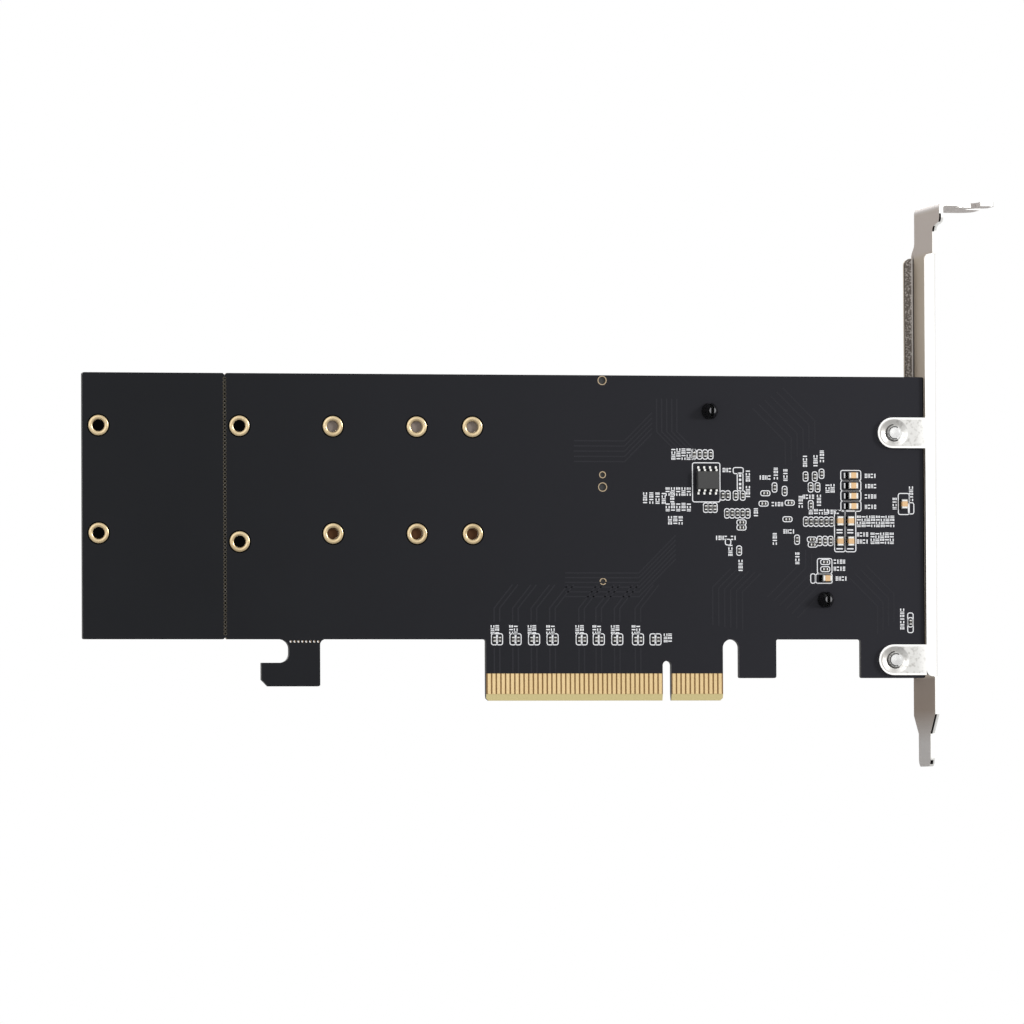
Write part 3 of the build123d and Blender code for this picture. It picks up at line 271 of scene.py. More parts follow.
class Finish:
    """A material with a Principled shader whose colour, roughness and bump come from the grain."""

    relief_depth = 0.04

    def __init__(self, name, dark, light=None, rough=0.5, spread=0.1, scale=800.0, bump=0.1,
                 metal=0.0, coat=0.0, specular=0.5):
        self.material = bpy.data.materials.new(name)
        self.material.use_nodes = True
        self.tree = self.material.node_tree
        self.shader = self.tree.nodes["Principled BSDF"]
        self.grain = self.add("ShaderNodeGroup")
        self.grain.node_tree = surface_grain
        self.grain.inputs["Scale"].default_value = scale
        self.grain.inputs["Roughness"].default_value = rough
        self.grain.inputs["Roughness Spread"].default_value = spread
        self.grain.inputs["Dark"].default_value = linear(dark)
        self.grain.inputs["Light"].default_value = linear(light or dark)
        self.shader.inputs["Metallic"].default_value = metal
        self.shader.inputs["Coat Weight"].default_value = coat
        self.shader.inputs["Specular IOR Level"].default_value = specular
        relief = self.add("ShaderNodeBump")
        relief.inputs["Strength"].default_value = bump
        relief.inputs["Distance"].default_value = self.relief_depth * millimetre
        self.join(self.grain.outputs["Height"], relief.inputs["Height"])
        self.join(relief.outputs["Normal"], self.shader.inputs["Normal"])
        self.join(self.grain.outputs["Roughness"], self.shader.inputs["Roughness"])
        self.colour = self.grain.outputs["Color"]
        self.join(self.colour, self.shader.inputs["Base Color"])

    def add(self, kind):
        """A new node of this kind in the material."""
        return self.tree.nodes.new(kind)

    def join(self, start, end):
        """Links an output to an input."""
        self.tree.links.new(start, end)

    def part_of(self, source, name):
        """The named axis of one of the surface's coordinates, as a socket."""
        place = self.add("ShaderNodeTexCoord")
        split = self.add("ShaderNodeSeparateXYZ")
        self.join(place.outputs[source], split.inputs[0])
        return split.outputs[name]

    def axis(self, name):
        """Where the surface lies along the named axis, in millimetres."""
        return self.math("DIVIDE", self.part_of("Object", name), millimetre)

    def facing(self, name):
        """How far the surface faces along the named axis, from -1 to 1."""
        return self.part_of("Normal", name)

    def fade(self, value, start, end):
        """A mask that rises from 0 to 1 as the value goes from start to end."""
        rise = self.add("ShaderNodeMapRange")
        self.join(value, rise.inputs["Value"])
        rise.inputs["From Min"].default_value = start
        rise.inputs["From Max"].default_value = end
        return rise.outputs[0]

    def between(self, value, low, high, soft=0.02):
        """A mask that is 1 where the value lies between low and high, with soft ends."""
        return self.both(self.fade(value, low - soft, low + soft),
                         self.fade(value, high + soft, high - soft))

    def both(self, a, b):
        """The product of two masks."""
        times = self.add("ShaderNodeMath")
        times.operation = "MULTIPLY"
        self.join(a, times.inputs[0])
        self.join(b, times.inputs[1])
        return times.outputs[0]

    def math(self, operation, a, b=0.0):
        """The result of a Math node on two values, each a number or a socket."""
        node = self.add("ShaderNodeMath")
        node.operation = operation
        for value, socket in ((a, node.inputs[0]), (b, node.inputs[1])):
            if isinstance(value, (int, float)):
                socket.default_value = value
            else:
                self.join(value, socket)
        return node.outputs[0]

    def spots(self, scale, low, high):
        """A mask of soft spots: noise that rises from 0 to 1 between two of its values."""
        noise = self.add("ShaderNodeTexNoise")
        noise.inputs["Scale"].default_value = scale
        noise.inputs["Detail"].default_value = 2.0
        place = self.add("ShaderNodeTexCoord")
        self.join(place.outputs["Object"], noise.inputs["Vector"])
        return self.fade(noise.outputs["Fac"], low, high)

    def paint(self, mask, colour):
        """Lays a colour over the base colour where the mask is 1."""
        mix = self.add("ShaderNodeMix")
        mix.data_type = "RGBA"
        mix.inputs["B"].default_value = linear(colour)
        self.join(mask, mix.inputs["Factor"])
        self.join(self.colour, mix.inputs["A"])
        self.join(mix.outputs["Result"], self.shader.inputs["Base Color"])
        self.colour = mix.outputs["Result"]
        return self


def board_finish():
    """Black solder mask, with painted light that makes it a little lighter towards the bracket and
    painted shade that makes its right rim dark, with bare laminate in the break holes, the peg holes and
    under the contact fingers."""
    shaded_right_rim, tongue_span = (56.15, 57.0), (tongue_left - 1.0, 12.5)
    finger_heights, bevel_heights, core = (-1.0, 5.72), (-1.0, 1.37), (-0.76, 0.76)
    break_column = (-95.4, -94.6)
    peg_column, peg_heights = (-15.2, -12.4), (24.0, 68.5)
    bite_span, bite_heights = (-81.5, -74.5), (12.1, 12.8)
    finish = Finish("black_solder_mask", (23, 24, 27), (27, 28, 31), rough=0.45, scale=900,
                    bump=0.08, specular=0.08)
    x, y, z = (finish.axis(name) for name in "XYZ")
    # Painted light: the mask grows lighter towards the bracket, on the side the light comes from
    finish.paint(finish.fade(x, -100.0, 56.0), (40, 40, 45))
    # Painted shade: near black along the board's edge beside the bracket
    finish.paint(finish.between(x, *shaded_right_rim), (8, 8, 8))
    tongue = finish.between(x, *tongue_span)
    finish.paint(finish.both(tongue, finish.between(z, *finger_heights)), (128, 98, 60))
    finish.paint(finish.both(tongue, finish.between(z, *bevel_heights)), (202, 188, 138))
    upright = finish.between(finish.facing("Y"), -0.5, 0.5, 0.05)
    wall = finish.both(finish.between(y, *core, 0.01), upright)
    finish.paint(wall, (30, 27, 24))
    finish.paint(finish.both(wall, finish.between(x, *break_column)), (120, 102, 74))
    pegs = finish.both(finish.between(x, *peg_column), finish.between(z, *peg_heights))
    finish.paint(finish.both(wall, pegs), (168, 146, 116))
    bites = finish.both(finish.between(x, *bite_span), finish.between(z, *bite_heights))
    finish.paint(finish.both(wall, bites), (196, 172, 132))
    return finish.material


def round_ended(finish, place, reach):
    """A mask that is 1 nearer than the reach to a line that runs from a place towards +X. The
    distance is that to the place while x is less than the place's, and past it |z - z0|."""
    short = finish.math("MAXIMUM", finish.math("SUBTRACT", place[0], finish.axis("X")), 0.0)
    across = finish.math("SUBTRACT", finish.axis("Z"), place[1])
    squares = finish.math("ADD", finish.both(short, short), finish.both(across, across))
    return finish.between(finish.math("SQRT", squares), -1.0, reach, 0.1)


def bracket_outside():
    """Bright zinc plate, with the lugs painted darker inside their bright rims, darkest towards their
    left tips and in spots.
    """
    lug, lug_tip, inset_shift, inset_reach = (40.0, 55.6), (40.0, 49.6), 0.4, 2.85
    finish = Finish("zinc_plated_steel", (236, 235, 231), (252, 251, 249), rough=0.30, spread=0.12,
                    scale=420, metal=1.0)
    for x, z in tab_screws:
        inset = round_ended(finish, (x - inset_shift, z), inset_reach)
        plate = finish.both(inset, finish.between(finish.axis("X"), *lug, 1.2))
        finish.paint(plate, (210, 209, 206))
        tip = finish.both(plate, finish.between(finish.axis("X"), *lug_tip, 2.2))
        finish.paint(tip, (182, 180, 176))
        finish.paint(finish.both(plate, finish.spots(1300.0, 0.50, 0.70)), (176, 174, 170))
    return finish.material


def bracket_inside():
    """The channel's inner faces: zinc darkened by painted shade, with a painted reflection of the dark
    card, a far flange in deeper painted shade with light speckles, a painted highlight on its bend and a
    line of painted shade beside it, a neck and screw tab with less painted shade, and an end tongue
    whose painted shade pales downwards."""
    shade_beside_bend, rim = (14.3, 15.6), (56.0, 56.65)
    neck_heights, tab_heights, tongue_heights = (95.5, 104.5), (104.5, 110.0), (-15.0, 5.0)
    # Base colour: zinc darkened by painted shade and a painted reflection of the dark card
    finish = Finish("inner_zinc_painted_shade", (160, 147, 130), (176, 162, 145), scale=900, bump=0.2, metal=0.2,
                    specular=0.1)
    y, z, lean = finish.axis("Y"), finish.axis("Z"), finish.facing("Y")
    flange = finish.between(lean, -1.1, -0.85, 0.05)
    # Painted shade: a dark line in the crease beside the far bend
    finish.paint(finish.between(y, *shade_beside_bend, 0.1), (84, 76, 70))
    # Painted highlight along the far bend
    finish.paint(finish.between(lean, -0.85, -0.12, 0.05), (222, 216, 210))
    # Painted shade on the far flange, with light speckles over it
    finish.paint(flange, (128, 120, 114))
    finish.paint(finish.both(flange, finish.spots(2200.0, 0.50, 0.60)), (204, 198, 192))
    # Painted shade: a dark strip along the far flange's cut rim
    finish.paint(finish.both(flange, finish.between(finish.axis("X"), *rim)), (58, 52, 50))
    # The neck and the screw tab get less painted shade
    finish.paint(finish.between(z, *neck_heights, 0.6), (171, 160, 152))
    finish.paint(finish.between(z, *tab_heights, 0.4), (186, 179, 175))
    # Painted shade on the end tongue, paling downwards
    tongue = finish.between(z, *tongue_heights, 0.4)
    finish.paint(tongue, (123, 107, 93))
    finish.paint(finish.both(tongue, finish.fade(z, -2.0, -9.0)), (173, 169, 166))
    return finish.material


def bracket_edges():
    """The sheet's cut edges: bright, with bands of painted shade along the inner side of the sloped ones
    and at the foot of the end tongue."""
    # (low, high, right) of each band of painted shade, which all start at one left limit
    shade_left = 57.0
    edge_shades = ((99.8, 103.5, 58.72), (-7.1, -2.9, 58.72), (-13.8, -12.7, 58.9))
    finish = Finish("cut_steel_edge", (236, 235, 231), (252, 251, 249), rough=0.35, scale=420,
                    metal=1.0)
    x, z = finish.axis("X"), finish.axis("Z")
    for low, high, right in edge_shades:
        edge_shade = finish.between(x, shade_left, right, 0.04)
        # Painted shade, near black
        finish.paint(finish.both(edge_shade, finish.between(z, low, high, 0.1)), (14, 12, 10))
    return finish.material


def dress_bracket(bracket):
    """Gives the bracket's triangles their material by the way they face and where they lie."""
    mesh = bracket.data
    mesh.materials.clear()
    for material in (bracket_outside(), bracket_inside(), bracket_edges(), hole_shadow):
        mesh.materials.append(material)
    outside, inside, edges, shadow = range(4)
    normal = np.empty(3 * len(mesh.polygons))
    centre = np.empty(3 * len(mesh.polygons))
    mesh.polygons.foreach_get("normal", normal)
    mesh.polygons.foreach_get("center", centre)
    normal_x, normal_y, normal_z = normal.reshape(-1, 3).T
    x, y, z = centre.reshape(-1, 3).T / millimetre
    inner = (normal_x < -0.6) & (x > 57.5)
    far_flange = (normal_y < -0.6) & (y > 10.0) & (z < 96.0)
    tab_under = (normal_z < -0.6) & (z > 104.5)
    front, sloped = y < 3.0, (z < -2.8) | (z > 99.5)
    near_edge = (normal_y < -0.3) & front & sloped & (x < 59.3)
    flange_rim = (normal_x < -0.6) & (x > 56.0) & (x < 57.0)
    # Inward faces take the inside material, which carries painted shade
    index = np.where(inner | far_flange | tab_under | flange_rim, inside, outside)
    index = np.where(near_edge, edges, index)
    # Painted shade: the near flange's rim beside the card turns black
    index = np.where(flange_rim & front & (z < 69.0), shadow, index)
    mesh.polygons.foreach_set("material_index", index.astype(np.int32))
    mesh.update()


board_black = board_finish()
finger_gold = Finish("gold_plating", (202, 174, 124), (232, 207, 160), rough=0.30, scale=700,
                     metal=0.75).material
ring_gold = Finish("gold_over_nickel", (164, 141, 104), (212, 194, 158), rough=0.28, spread=0.12,
                   scale=3000, bump=0.2, metal=0.85).material
barrel_brown = Finish("barrel_plating", (120, 92, 62), (150, 118, 82), rough=0.45,
                      metal=0.6).material
tin = Finish("dull_tin", (205, 205, 202), (232, 232, 228), rough=0.38, spread=0.15, scale=1600,
             bump=0.2, metal=0.9).material
solder = Finish("reflowed_solder", (196, 197, 198), (226, 226, 226), rough=0.25, scale=1500,
                bump=0.15, metal=1.0).material
screw_zinc = Finish("bright_screw_steel", (190, 190, 190), (228, 228, 226), rough=0.25, scale=600,
                    metal=1.0).material
black_oxide = Finish("black_oxide_steel", (30, 30, 31), (44, 44, 45), rough=0.35, metal=0.6,
                     scale=900).material
nylon = Finish("black_nylon", (12, 12, 13), (20, 20, 21), rough=0.22, spread=0.08, scale=500,
               bump=0.08).material
# Painted highlight: a grey for the flat tips of the push pins
pin_tip_highlight = Finish("pin_tip_painted_highlight", (96, 96, 98), (124, 124, 126), scale=1500).material
hole_shadow = Finish("unlit_hole", (5, 5, 5), rough=0.9, specular=0.02).material
floor_grey = Finish("shaded_grey_insert_end", (126, 116, 110), (142, 132, 126), rough=0.6, scale=2500,
                    specular=0.1).material
floor_brown = Finish("shaded_insert_end", (74, 48, 30), (88, 60, 40), rough=0.7, scale=2500,
                     specular=0.05).material
socket_black = Finish("socket_moulding", (22, 22, 23), (28, 28, 29), scale=1800, bump=0.2).material
mould_grey = Finish("mould_compound", (60, 60, 60), (70, 70, 70), rough=0.6, spread=0.08,
                    scale=2600, bump=0.3, specular=0.25).material
print_white = Finish("white_print", (222, 223, 226), (244, 245, 247), rough=0.6,
                     scale=2500).material
track_black = Finish("masked_track", (38, 38, 42), (46, 46, 51), rough=0.4, scale=900,
                     specular=0.09).material
# Painted shade in the grooves round the screw ends
groove_shade = Finish("screw_groove_painted_shade", (16, 14, 12), (22, 19, 16), rough=0.6, scale=900).material
laminate = Finish("bare_laminate", (166, 146, 118), (190, 170, 140), rough=0.6, scale=1500,
                  bump=0.2).material
laminate_dull = Finish("dull_laminate", (62, 58, 50), (92, 86, 74), rough=0.7, scale=6000,
                       specular=0.1).material
tan_ceramic = Finish("tan_ceramic", (206, 164, 114), (236, 200, 152), rough=0.42, scale=2200,
                     bump=0.15).material
dark_ceramic = Finish("dark_resistor_ceramic", (58, 56, 54), (78, 74, 70), rough=0.45, scale=2200,
                      bump=0.15).material
substrate_green = Finish("substrate_laminate", (38, 66, 48), (44, 76, 56), rough=0.45,
                         scale=1500).material
lid_nickel = Finish("matt_nickel", (176, 176, 176), (196, 196, 196), rough=0.38, scale=700,
                    metal=1.0).material
pad_grey = Finish("silicone_pad", (150, 154, 160), (160, 164, 170), rough=0.8, scale=900).material
sink_black = Finish("black_anodised_aluminium", (40, 40, 42), (54, 54, 57), rough=0.38,
                    spread=0.12, scale=1200, bump=0.15, metal=0.7).material
ferrite = Finish("pressed_ferrite", (62, 62, 64), (78, 78, 80), rough=0.6, scale=2400,
                 bump=0.4).material
spring_steel = Finish("spring_steel", (170, 170, 172), (200, 200, 202), rough=0.25,
                      metal=1.0).material
lamp_clear = Finish("lamp_moulding", (214, 216, 190), (224, 226, 204), rough=0.25,
                    coat=0.3).material
contact_gold = Finish("contact_plating", (222, 192, 130), (240, 216, 160), rough=0.28,
                      metal=1.0).material

for material, names in (
    (board_black, ("circuit_board",)),
    (contact_gold, ("drive_socket_contacts_upper", "drive_socket_contacts_lower")),
    (barrel_brown, ("drive_hole_platings",)),
    (tin, ("drive_socket_clips", "large_capacitor_ends", "bulk_capacitor_ends", "flash_chip_leads")),
    (screw_zinc, ("bracket_screws", "drive_standoffs")),
    (black_oxide, ("drive_screws",)),
    (nylon, ("push_pins",)),
    (socket_black, ("drive_socket_housing_upper", "drive_socket_housing_lower")),
    (mould_grey, ("flash_chip_body", "regulator_chip")),
    (tan_ceramic, ("large_capacitor_bodies", "bulk_capacitor_bodies")),
    (dark_ceramic, ("small_chips",)),
    (substrate_green, ("switch_chip_substrate",)),
    (lid_nickel, ("switch_chip_lid", "crystal_lid_cap", "crystal_base_tray")),
    (pad_grey, ("thermal_pad",)),
    (sink_black, ("heat_sink",)),
    (ferrite, ("power_inductor",)),
    (spring_steel, ("push_pin_springs",)),
    (solder, ("switch_solder_balls",)),
    (lamp_clear, ("activity_lamps",)),
    (finger_gold, ("edge_contacts_solder_side", "edge_contacts_component_side")),
):
    for name in names:
        nodes[name].data.materials.clear()
        nodes[name].data.materials.append(material)
dress_bracket(nodes["bracket"])

# The flat tips of the push pins get a grey painted highlight
pin_mesh = nodes["push_pins"].data
pin_mesh.materials.append(pin_tip_highlight)
tip_depth, facing_out = -3.5, -0.9
for face in pin_mesh.polygons:
    face.material_index = int(face.normal.y < facing_out and face.center.y / millimetre < tip_depth)


# Contact fingers

finger_pitch, finger_width, finger_proud, finger_bevel = 1.0, 0.72, 0.08, 0.05
finger_low, finger_high = 1.37, 5.73
key_offset, fingers_near, fingers_far = 1.5, 11, 38
finger_places = [key_offset + i * finger_pitch for i in range(fingers_near)]
finger_places += [-key_offset - i * finger_pitch for i in range(fingers_far)]
finger_size = (finger_width, finger_high - finger_low)
for side, node in ((-1, "edge_contacts_solder_side"), (1, "edge_contacts_component_side")):
    places = [(x, (finger_low + finger_high) / 2) for x in finger_places]
    vertices, faces = blocks(places, finger_size, finger_proud, finger_bevel, side)
    add_piece(node.replace("edge_contacts", "gold_fingers"), vertices, faces, finger_gold,
              "contact_gold", stands_for=(node,))


# Plated drive holes

# (radius, height) of a ring with its barrel, and of the dark gap in the mask round it
ring_profile = [(1.29, -0.02), (1.29, -0.77), (1.215, -0.77), (1.215, -0.1), (1.26, 0.0),
                (1.38, 0.10), (1.6, 0.15), (1.85, 0.15), (2.05, 0.11), (2.16, 0.05), (2.16, 0.0)]
gap_profile = [(2.42, 0.0), (2.42, 0.006), (2.15, 0.006), (2.15, 0.0)]
for side, face_name, nodes_replaced in ((-1, "solder", ("drive_hole_platings",)), (1, "component", ())):
    vertices, faces = turned_rings(open_holes + closed_holes, ring_profile, 48, side)
    add_piece("drive_hole_rings_" + face_name, vertices, faces, ring_gold, "contact_gold",
              smooth=True, stands_for=nodes_replaced)
    vertices, faces = turned_rings(open_holes + closed_holes, gap_profile, 48, side)
    add_piece("mask_gaps_" + face_name, vertices, faces, hole_shadow, "board_mask")


# What closes the drive holes: insert ends deep in the open ones, grey in the upper row and brown in the
# lower, darkened by painted shade of the bore, and unlit ends on the shanks
closing_radius, closing_thickness = 1.2, 0.05
upper_holes = [place for place in open_holes if place[1] == rows[0]]
lower_holes = [place for place in open_holes if place[1] == rows[1]]
for name, places, depth, material, slot in (
    ("upper_insert_ends", upper_holes, 0.95, floor_grey, "bracket_steel"),
    ("lower_insert_ends", lower_holes, 0.95, floor_brown, "bracket_steel"),
    ("standoff_shank_ends", closed_holes, -0.10, hole_shadow, "screw_steel"),
):
    profile = [(closing_radius, -depth - closing_thickness), (closing_radius, -depth)]
    add_piece(name, *turned_discs(places, profile, 32), material, slot)


# Perforated break line: thin crescents of bare laminate at the rims of holes, closed below the face by
# black discs of painted shade

def crescents(places, inner, outer, shift, height):
    """Flat rings whose outer circle is moved against the inner one, so that they are widest on
    one side. The section is a rectangle between the two circles."""
    segments = 16
    angle = np.linspace(0, 2 * np.pi, segments, endpoint=False)
    circle = np.stack([np.cos(angle), np.sin(angle)], axis=1)
    near, far = circle * inner, circle * outer + (shift, 0.0)
    section = [np.column_stack([flat, np.full(segments, level)])
               for flat, level in ((near, 0.0), (far, 0.0), (far, height), (near, height))]
    ring = np.stack(section, axis=1).reshape(-1, 3)
    faces = grid_faces(segments, 4, True, True)
    return joined([(onto_side(ring + (x, z, 0), -1), faces) for x, z in places])


break_start = (board_base + board_top - (break_count - 1) * break_pitch) / 2
break_holes = [(break_line_x, break_start + i * break_pitch) for i in range(break_count)]
break_hole_shade = turned_discs(break_holes, [(0.24, -0.15), (0.24, -0.08)], 8)
add_piece("break_hole_rims", *crescents(break_holes, 0.25, 0.38, -0.04, 0.01), laminate_dull,
          "board_mask")
add_piece("break_hole_shade_discs", *break_hole_shade, hole_shadow, "board_mask")


# Socket peg holes

large_pegs = [(socket_x, z + peg_reach) for z in rows]
small_pegs = [(socket_x, z - peg_reach) for z in rows]
for name, places, inner, outer in (
    ("large", large_pegs, 0.80, 0.98),
    ("small", small_pegs, 0.55, 0.74),
):
    rim = [(outer, 0.0), (outer, 0.012), (inner, 0.012), (inner, 0.0)]
    vertices, faces = turned_rings(places, rim, 32)
    add_piece("peg_hole_rims_" + name, vertices, faces, laminate, "board_mask")


# Small parts of the solder side

def spread(first, last, z, pitch=1.2):
    """Places from first to last at one height, as many as fit at about the usual pitch."""
    gaps = round((last - first) / pitch)
    return [(x, z) for x in np.linspace(first, last, gaps + 1)]


# (first, last, height) of each row of upright small chips
upright_rows = [(6.1, 9.7, 52.2), (8.6, 10.55, 40.9), (12.3, 13.4, 43.5), (15.1, 16.65, 43.5),
                (13.2, 17.7, 39.7), (30.4, 30.4, 47.6), (32.4, 32.4, 47.6), (33.9, 33.9, 48.2),
                (31.5, 33.0, 45.3), (31.5, 31.5, 41.5), (30.4, 36.0, 38.0), (33.4, 35.8, 33.9),
                (28.45, 28.45, 34.15), (23.6, 23.6, 45.25), (25.8, 25.8, 44.5), (15.8, 15.8, 31.8),
                (53.2, 53.2, 16.6)]
pair_middles = (-36.8, -32.8, -28.8, -24.8, -18.5, -14.8, -10.8, -6.3, -2.5)
pair_half, stack_pitch, tall_half_x, tall_half_z = 0.575, 2.18, 1.175, 2.16
upright = [place for row in upright_rows for place in spread(*row)]
pairs = [(x + step, board_base) for x in pair_middles for step in (-pair_half, pair_half)]
lying = [(16.35, 37.8), (16.35, 36.7), (21.6, 44.0), (21.2, 41.8), (26.9, 42.0), (26.4, 38.5),
         (31.7, 34.2), (31.9, 33.1), (34.6, 29.4), (34.6, 27.9)]
tan_stack = [(40.7, 47.85 - stack_pitch * i) for i in range(4)]
tall_stack = [(38.95 + tall_half_x * i, 36.0 + tall_half_z * j) for i in (-1, 1) for j in (-1, 1)]
large_lying = tan_stack + [(34.9, 25.95)]
large_upright = tall_stack + [(51.9, 41.8)]


def chip_parts(places, size, end_share, swell, upright_way):
    """The fired middles and the tinned ends of a group of chips of one (length, width, height).
    The ends wrap the middle and stand out from it by the swell all round."""
    length, width, height = size
    places = np.asarray(places, float)
    way = np.array((0.0, 1.0) if upright_way else (1.0, 0.0))
    end = length * end_share
    middle_size = way * (length - 1.6 * end) + (1 - way) * width
    end_size = way * end + (1 - way) * (width + 2 * swell)
    shift = way * (length - end) / 2
    middles = blocks(places, middle_size, height, 0.06 * height)
    end_places = np.concatenate([places - shift, places + shift])
    return middles, blocks(end_places, end_size, height + swell, 0.12 * height)


# (size, share of each end, swell) of the two kinds of chip
small_chip, large_chip = ((1.0, 0.5, 0.4), 0.26, 0.015), ((2.0, 1.25, 1.1), 0.27, 0.02)
small_groups = [chip_parts(upright + pairs, *small_chip, True), chip_parts(lying, *small_chip, False)]
large_groups = [chip_parts(large_upright, *large_chip, True),
                chip_parts(large_lying, *large_chip, False)]
add_piece("small_chip_middles", *joined([g[0] for g in small_groups]), dark_ceramic,
          "resistor_ceramic", stands_for=("small_chips",))
add_piece("small_chip_ends", *joined([g[1] for g in small_groups]), tin, "tin")

# Painted shadows: black patches on the left of the tan capacitors, where their shadows fall
shadows_of_lying = [(x - 1.3, z) for x, z in large_lying]
shadows_of_upright = [(x - 0.88, z) for x, z in large_upright]
shadow_places = shadows_of_lying + shadows_of_upright
shadow_sizes = [(0.7, 1.35)] * len(shadows_of_lying) + [(0.6, 2.2)] * len(shadows_of_upright)
add_piece("painted_capacitor_shadows", *blocks(shadow_places, shadow_sizes, 0.006), hole_shadow, "board_mask")

add_piece("tan_capacitor_middles", *joined([g[0] for g in large_groups]), tan_ceramic,
          "capacitor_ceramic", stands_for=("large_capacitor_bodies",))
add_piece("tan_capacitor_ends", *joined([g[1] for g in large_groups]), tin, "tin",
          stands_for=("large_capacitor_ends",))


# White print

print_height, print_line, print_corner = 0.02, 0.2, 0.4

# (x, z, width, height) of each rounded outline, first two overlapping ones for each pair of chips
outline_frames = [(x + step, board_base, 1.3, 2.35) for x in pair_middles for step in (-0.55, 0.55)]
outline_frames += [(x, z, 1.05, 2.0) for x, z in upright]
outline_frames += [(x, z, 2.0, 1.05) for x, z in lying]
outline_frames += [(x - 0.40, z, 4.4, 2.15) for x, z in tan_stack]
outline_frames += [(x + 0.05, z + tall_half_z, 2.3, 8.8) for x, z in tall_stack[::2]]
outline_frames += [(8.72, 46.27, 5.99, 8.31), (51.9, 41.82, 2.4, 4.5), (53.5, 40.9, 1.2, 2.4)]
outline_frames += [(34.47, 28.55, 3.2, 3.2), (34.3, 25.9, 3.6, 2.0), (31.9, 25.9, 1.0, 2.0)]
outline_frames += [(15.7, 48.8, 2.2, 1.3), (16.1, 46.4, 1.25, 3.8), (13.4, 33.6, 1.2, 1.2)]
outline_frames += [(53.2, 16.5, 1.2, 4.2)]
chip_outlines = outlines(outline_frames, print_line, print_height, print_corner)
add_piece("chip_outlines", *chip_outlines, print_white, None)

# Plain ticks in a unit cell, as (x, z, width, height): a mark is upright ticks or level ones
cell_strokes = {
    "left": (0.18, 0.5, 0.36, 1.0),
    "right": (0.82, 0.5, 0.36, 1.0),
    "stem": (0.5, 0.5, 0.5, 1.0),
    "low": (0.5, 0.14, 1.0, 0.28),
    "across": (0.5, 0.5, 1.0, 0.2),
    "high": (0.5, 0.86, 1.0, 0.28),
}
mark_shapes = (("low", "across", "high"), ("stem",), ("low", "high"), ("left", "right"))


def print_marks(middle, count, cell=(0.50, 0.90), pitch=0.66, up=False, first=0):
    """A row of small print marks about a middle point, as (x, z, width, height) strokes. The
    shapes are taken in turn. A row that runs up the board is the same one turned by a quarter."""
    strokes = []
    for i in range(count):
        start = (i - (count - 1) / 2) * pitch - cell[0] / 2
        shape = mark_shapes[(first + 3 * i) % len(mark_shapes)]
        for name in shape:
            x, z, width, tall = cell_strokes[name]
            across, along = start + x * cell[0], (z - 0.5) * cell[1]
            box = (across, along, width * cell[0], tall * cell[1])
            if up:
                box = (-box[1], box[0], box[3], box[2])
            strokes.append((middle[0] + box[0], middle[1] + box[1], box[2], box[3]))
    return strokes


# (middle, marks) of rows that run across, then of rows that run up the board
marks_across = [((44.6, 47.8), 4), ((44.6, 45.6), 4), ((44.6, 43.4), 4), ((44.6, 41.2), 4),
                ((13.2, 48.9), 3), ((21.5, 47.35), 4), ((24.2, 41.7), 4), ((31.0, 43.3), 4),
                ((26.7, 35.9), 4), ((36.4, 40.1), 4), ((37.7, 29.5), 4), ((37.7, 28.0), 4),
                ((38.1, 25.9), 4), ((11.9, 34.5), 4), ((14.6, 34.5), 2), ((42.8, 35.3), 4),
                ((42.8, 33.8), 4)]
marks_up = [((17.8, 47.7), 4), ((17.8, 44.3), 4), ((23.9, 48.2), 4), ((26.0, 47.9), 4),
            ((30.3, 50.9), 4), ((32.6, 50.9), 4), ((34.0, 51.9), 4), ((35.2, 45.1), 3),
            ((36.3, 45.1), 3), ((33.3, 42.5), 4), ((23.6, 34.3), 4), ((28.5, 30.2), 4),
            ((13.9, 31.9), 4), ((16.1, 28.6), 4), ((53.5, 44.0), 5), ((49.9, 41.9), 4),
            ((51.4, 17.3), 7), ((19.5, 39.9), 3), ((29.3, 42.2), 4)]
columns_up = [((1.6 + 1.1 * i, 52.25), 4) for i in range(5)]
columns_up += [((-4.6 + 1.35 * i, 42.9), 4) for i in range(4)] + [((1.3, 43.1), 4)]
columns_up += [((0.3 + 1.15 * i, z), 3) for i in range(5) for z in (44.3, 41.0)]
columns_up += [((0.8 + 1.15 * i, 38.2), 3) for i in range(3)]
columns_up += [((42.0 + 1.05 * i, 38.1), 4) for i in range(8)]
columns_up += [((45.0 + 1.05 * i, 34.5), 4) for i in range(5)]
columns_up += [((31.5 + 1.1 * i, 40.1), 2) for i in range(4)]
pair_marks = [((x + step, board_base + 2.05), 3) for x in pair_middles[:-1] for step in (-0.95, 0.05)]
pair_marks += [((pair_middles[-1] + 2.2 + step, board_base + 0.3), 3) for step in (0.0, 0.95)]

# Single ticks beside the tan capacitors and in a narrow outline near the memory chip
strokes = [(x - 1.75, z, 0.3, 1.1) for x, z in tan_stack]
strokes += [(x, z + shift, 1.3, 0.28) for x, z in tall_stack[1::2] for shift in (-1.9, -2.5)]
strokes += [(x, z - 1.6, 1.4, 0.28) for x, z in tall_stack[::2]]
strokes += [(16.1, 46.4 + shift, 0.5, 0.5) for shift in (-1.3, -0.45, 0.45, 1.3)]
for number, (middle, count) in enumerate(marks_across):
    strokes += print_marks(middle, count, first=number)
for number, (middle, count) in enumerate(marks_up):
    strokes += print_marks(middle, count, up=True, first=number)
for number, (middle, count) in enumerate(columns_up):
    strokes += print_marks(middle, count, (0.50, 0.86), 0.64, True, number)
for number, (middle, count) in enumerate(pair_marks):
    strokes += print_marks(middle, count, (0.5, 0.8), 0.68, True, number)
strokes = np.asarray(strokes)
add_piece("part_marks", *blocks(strokes[:, :2], strokes[:, 2:], print_height), print_white, None)

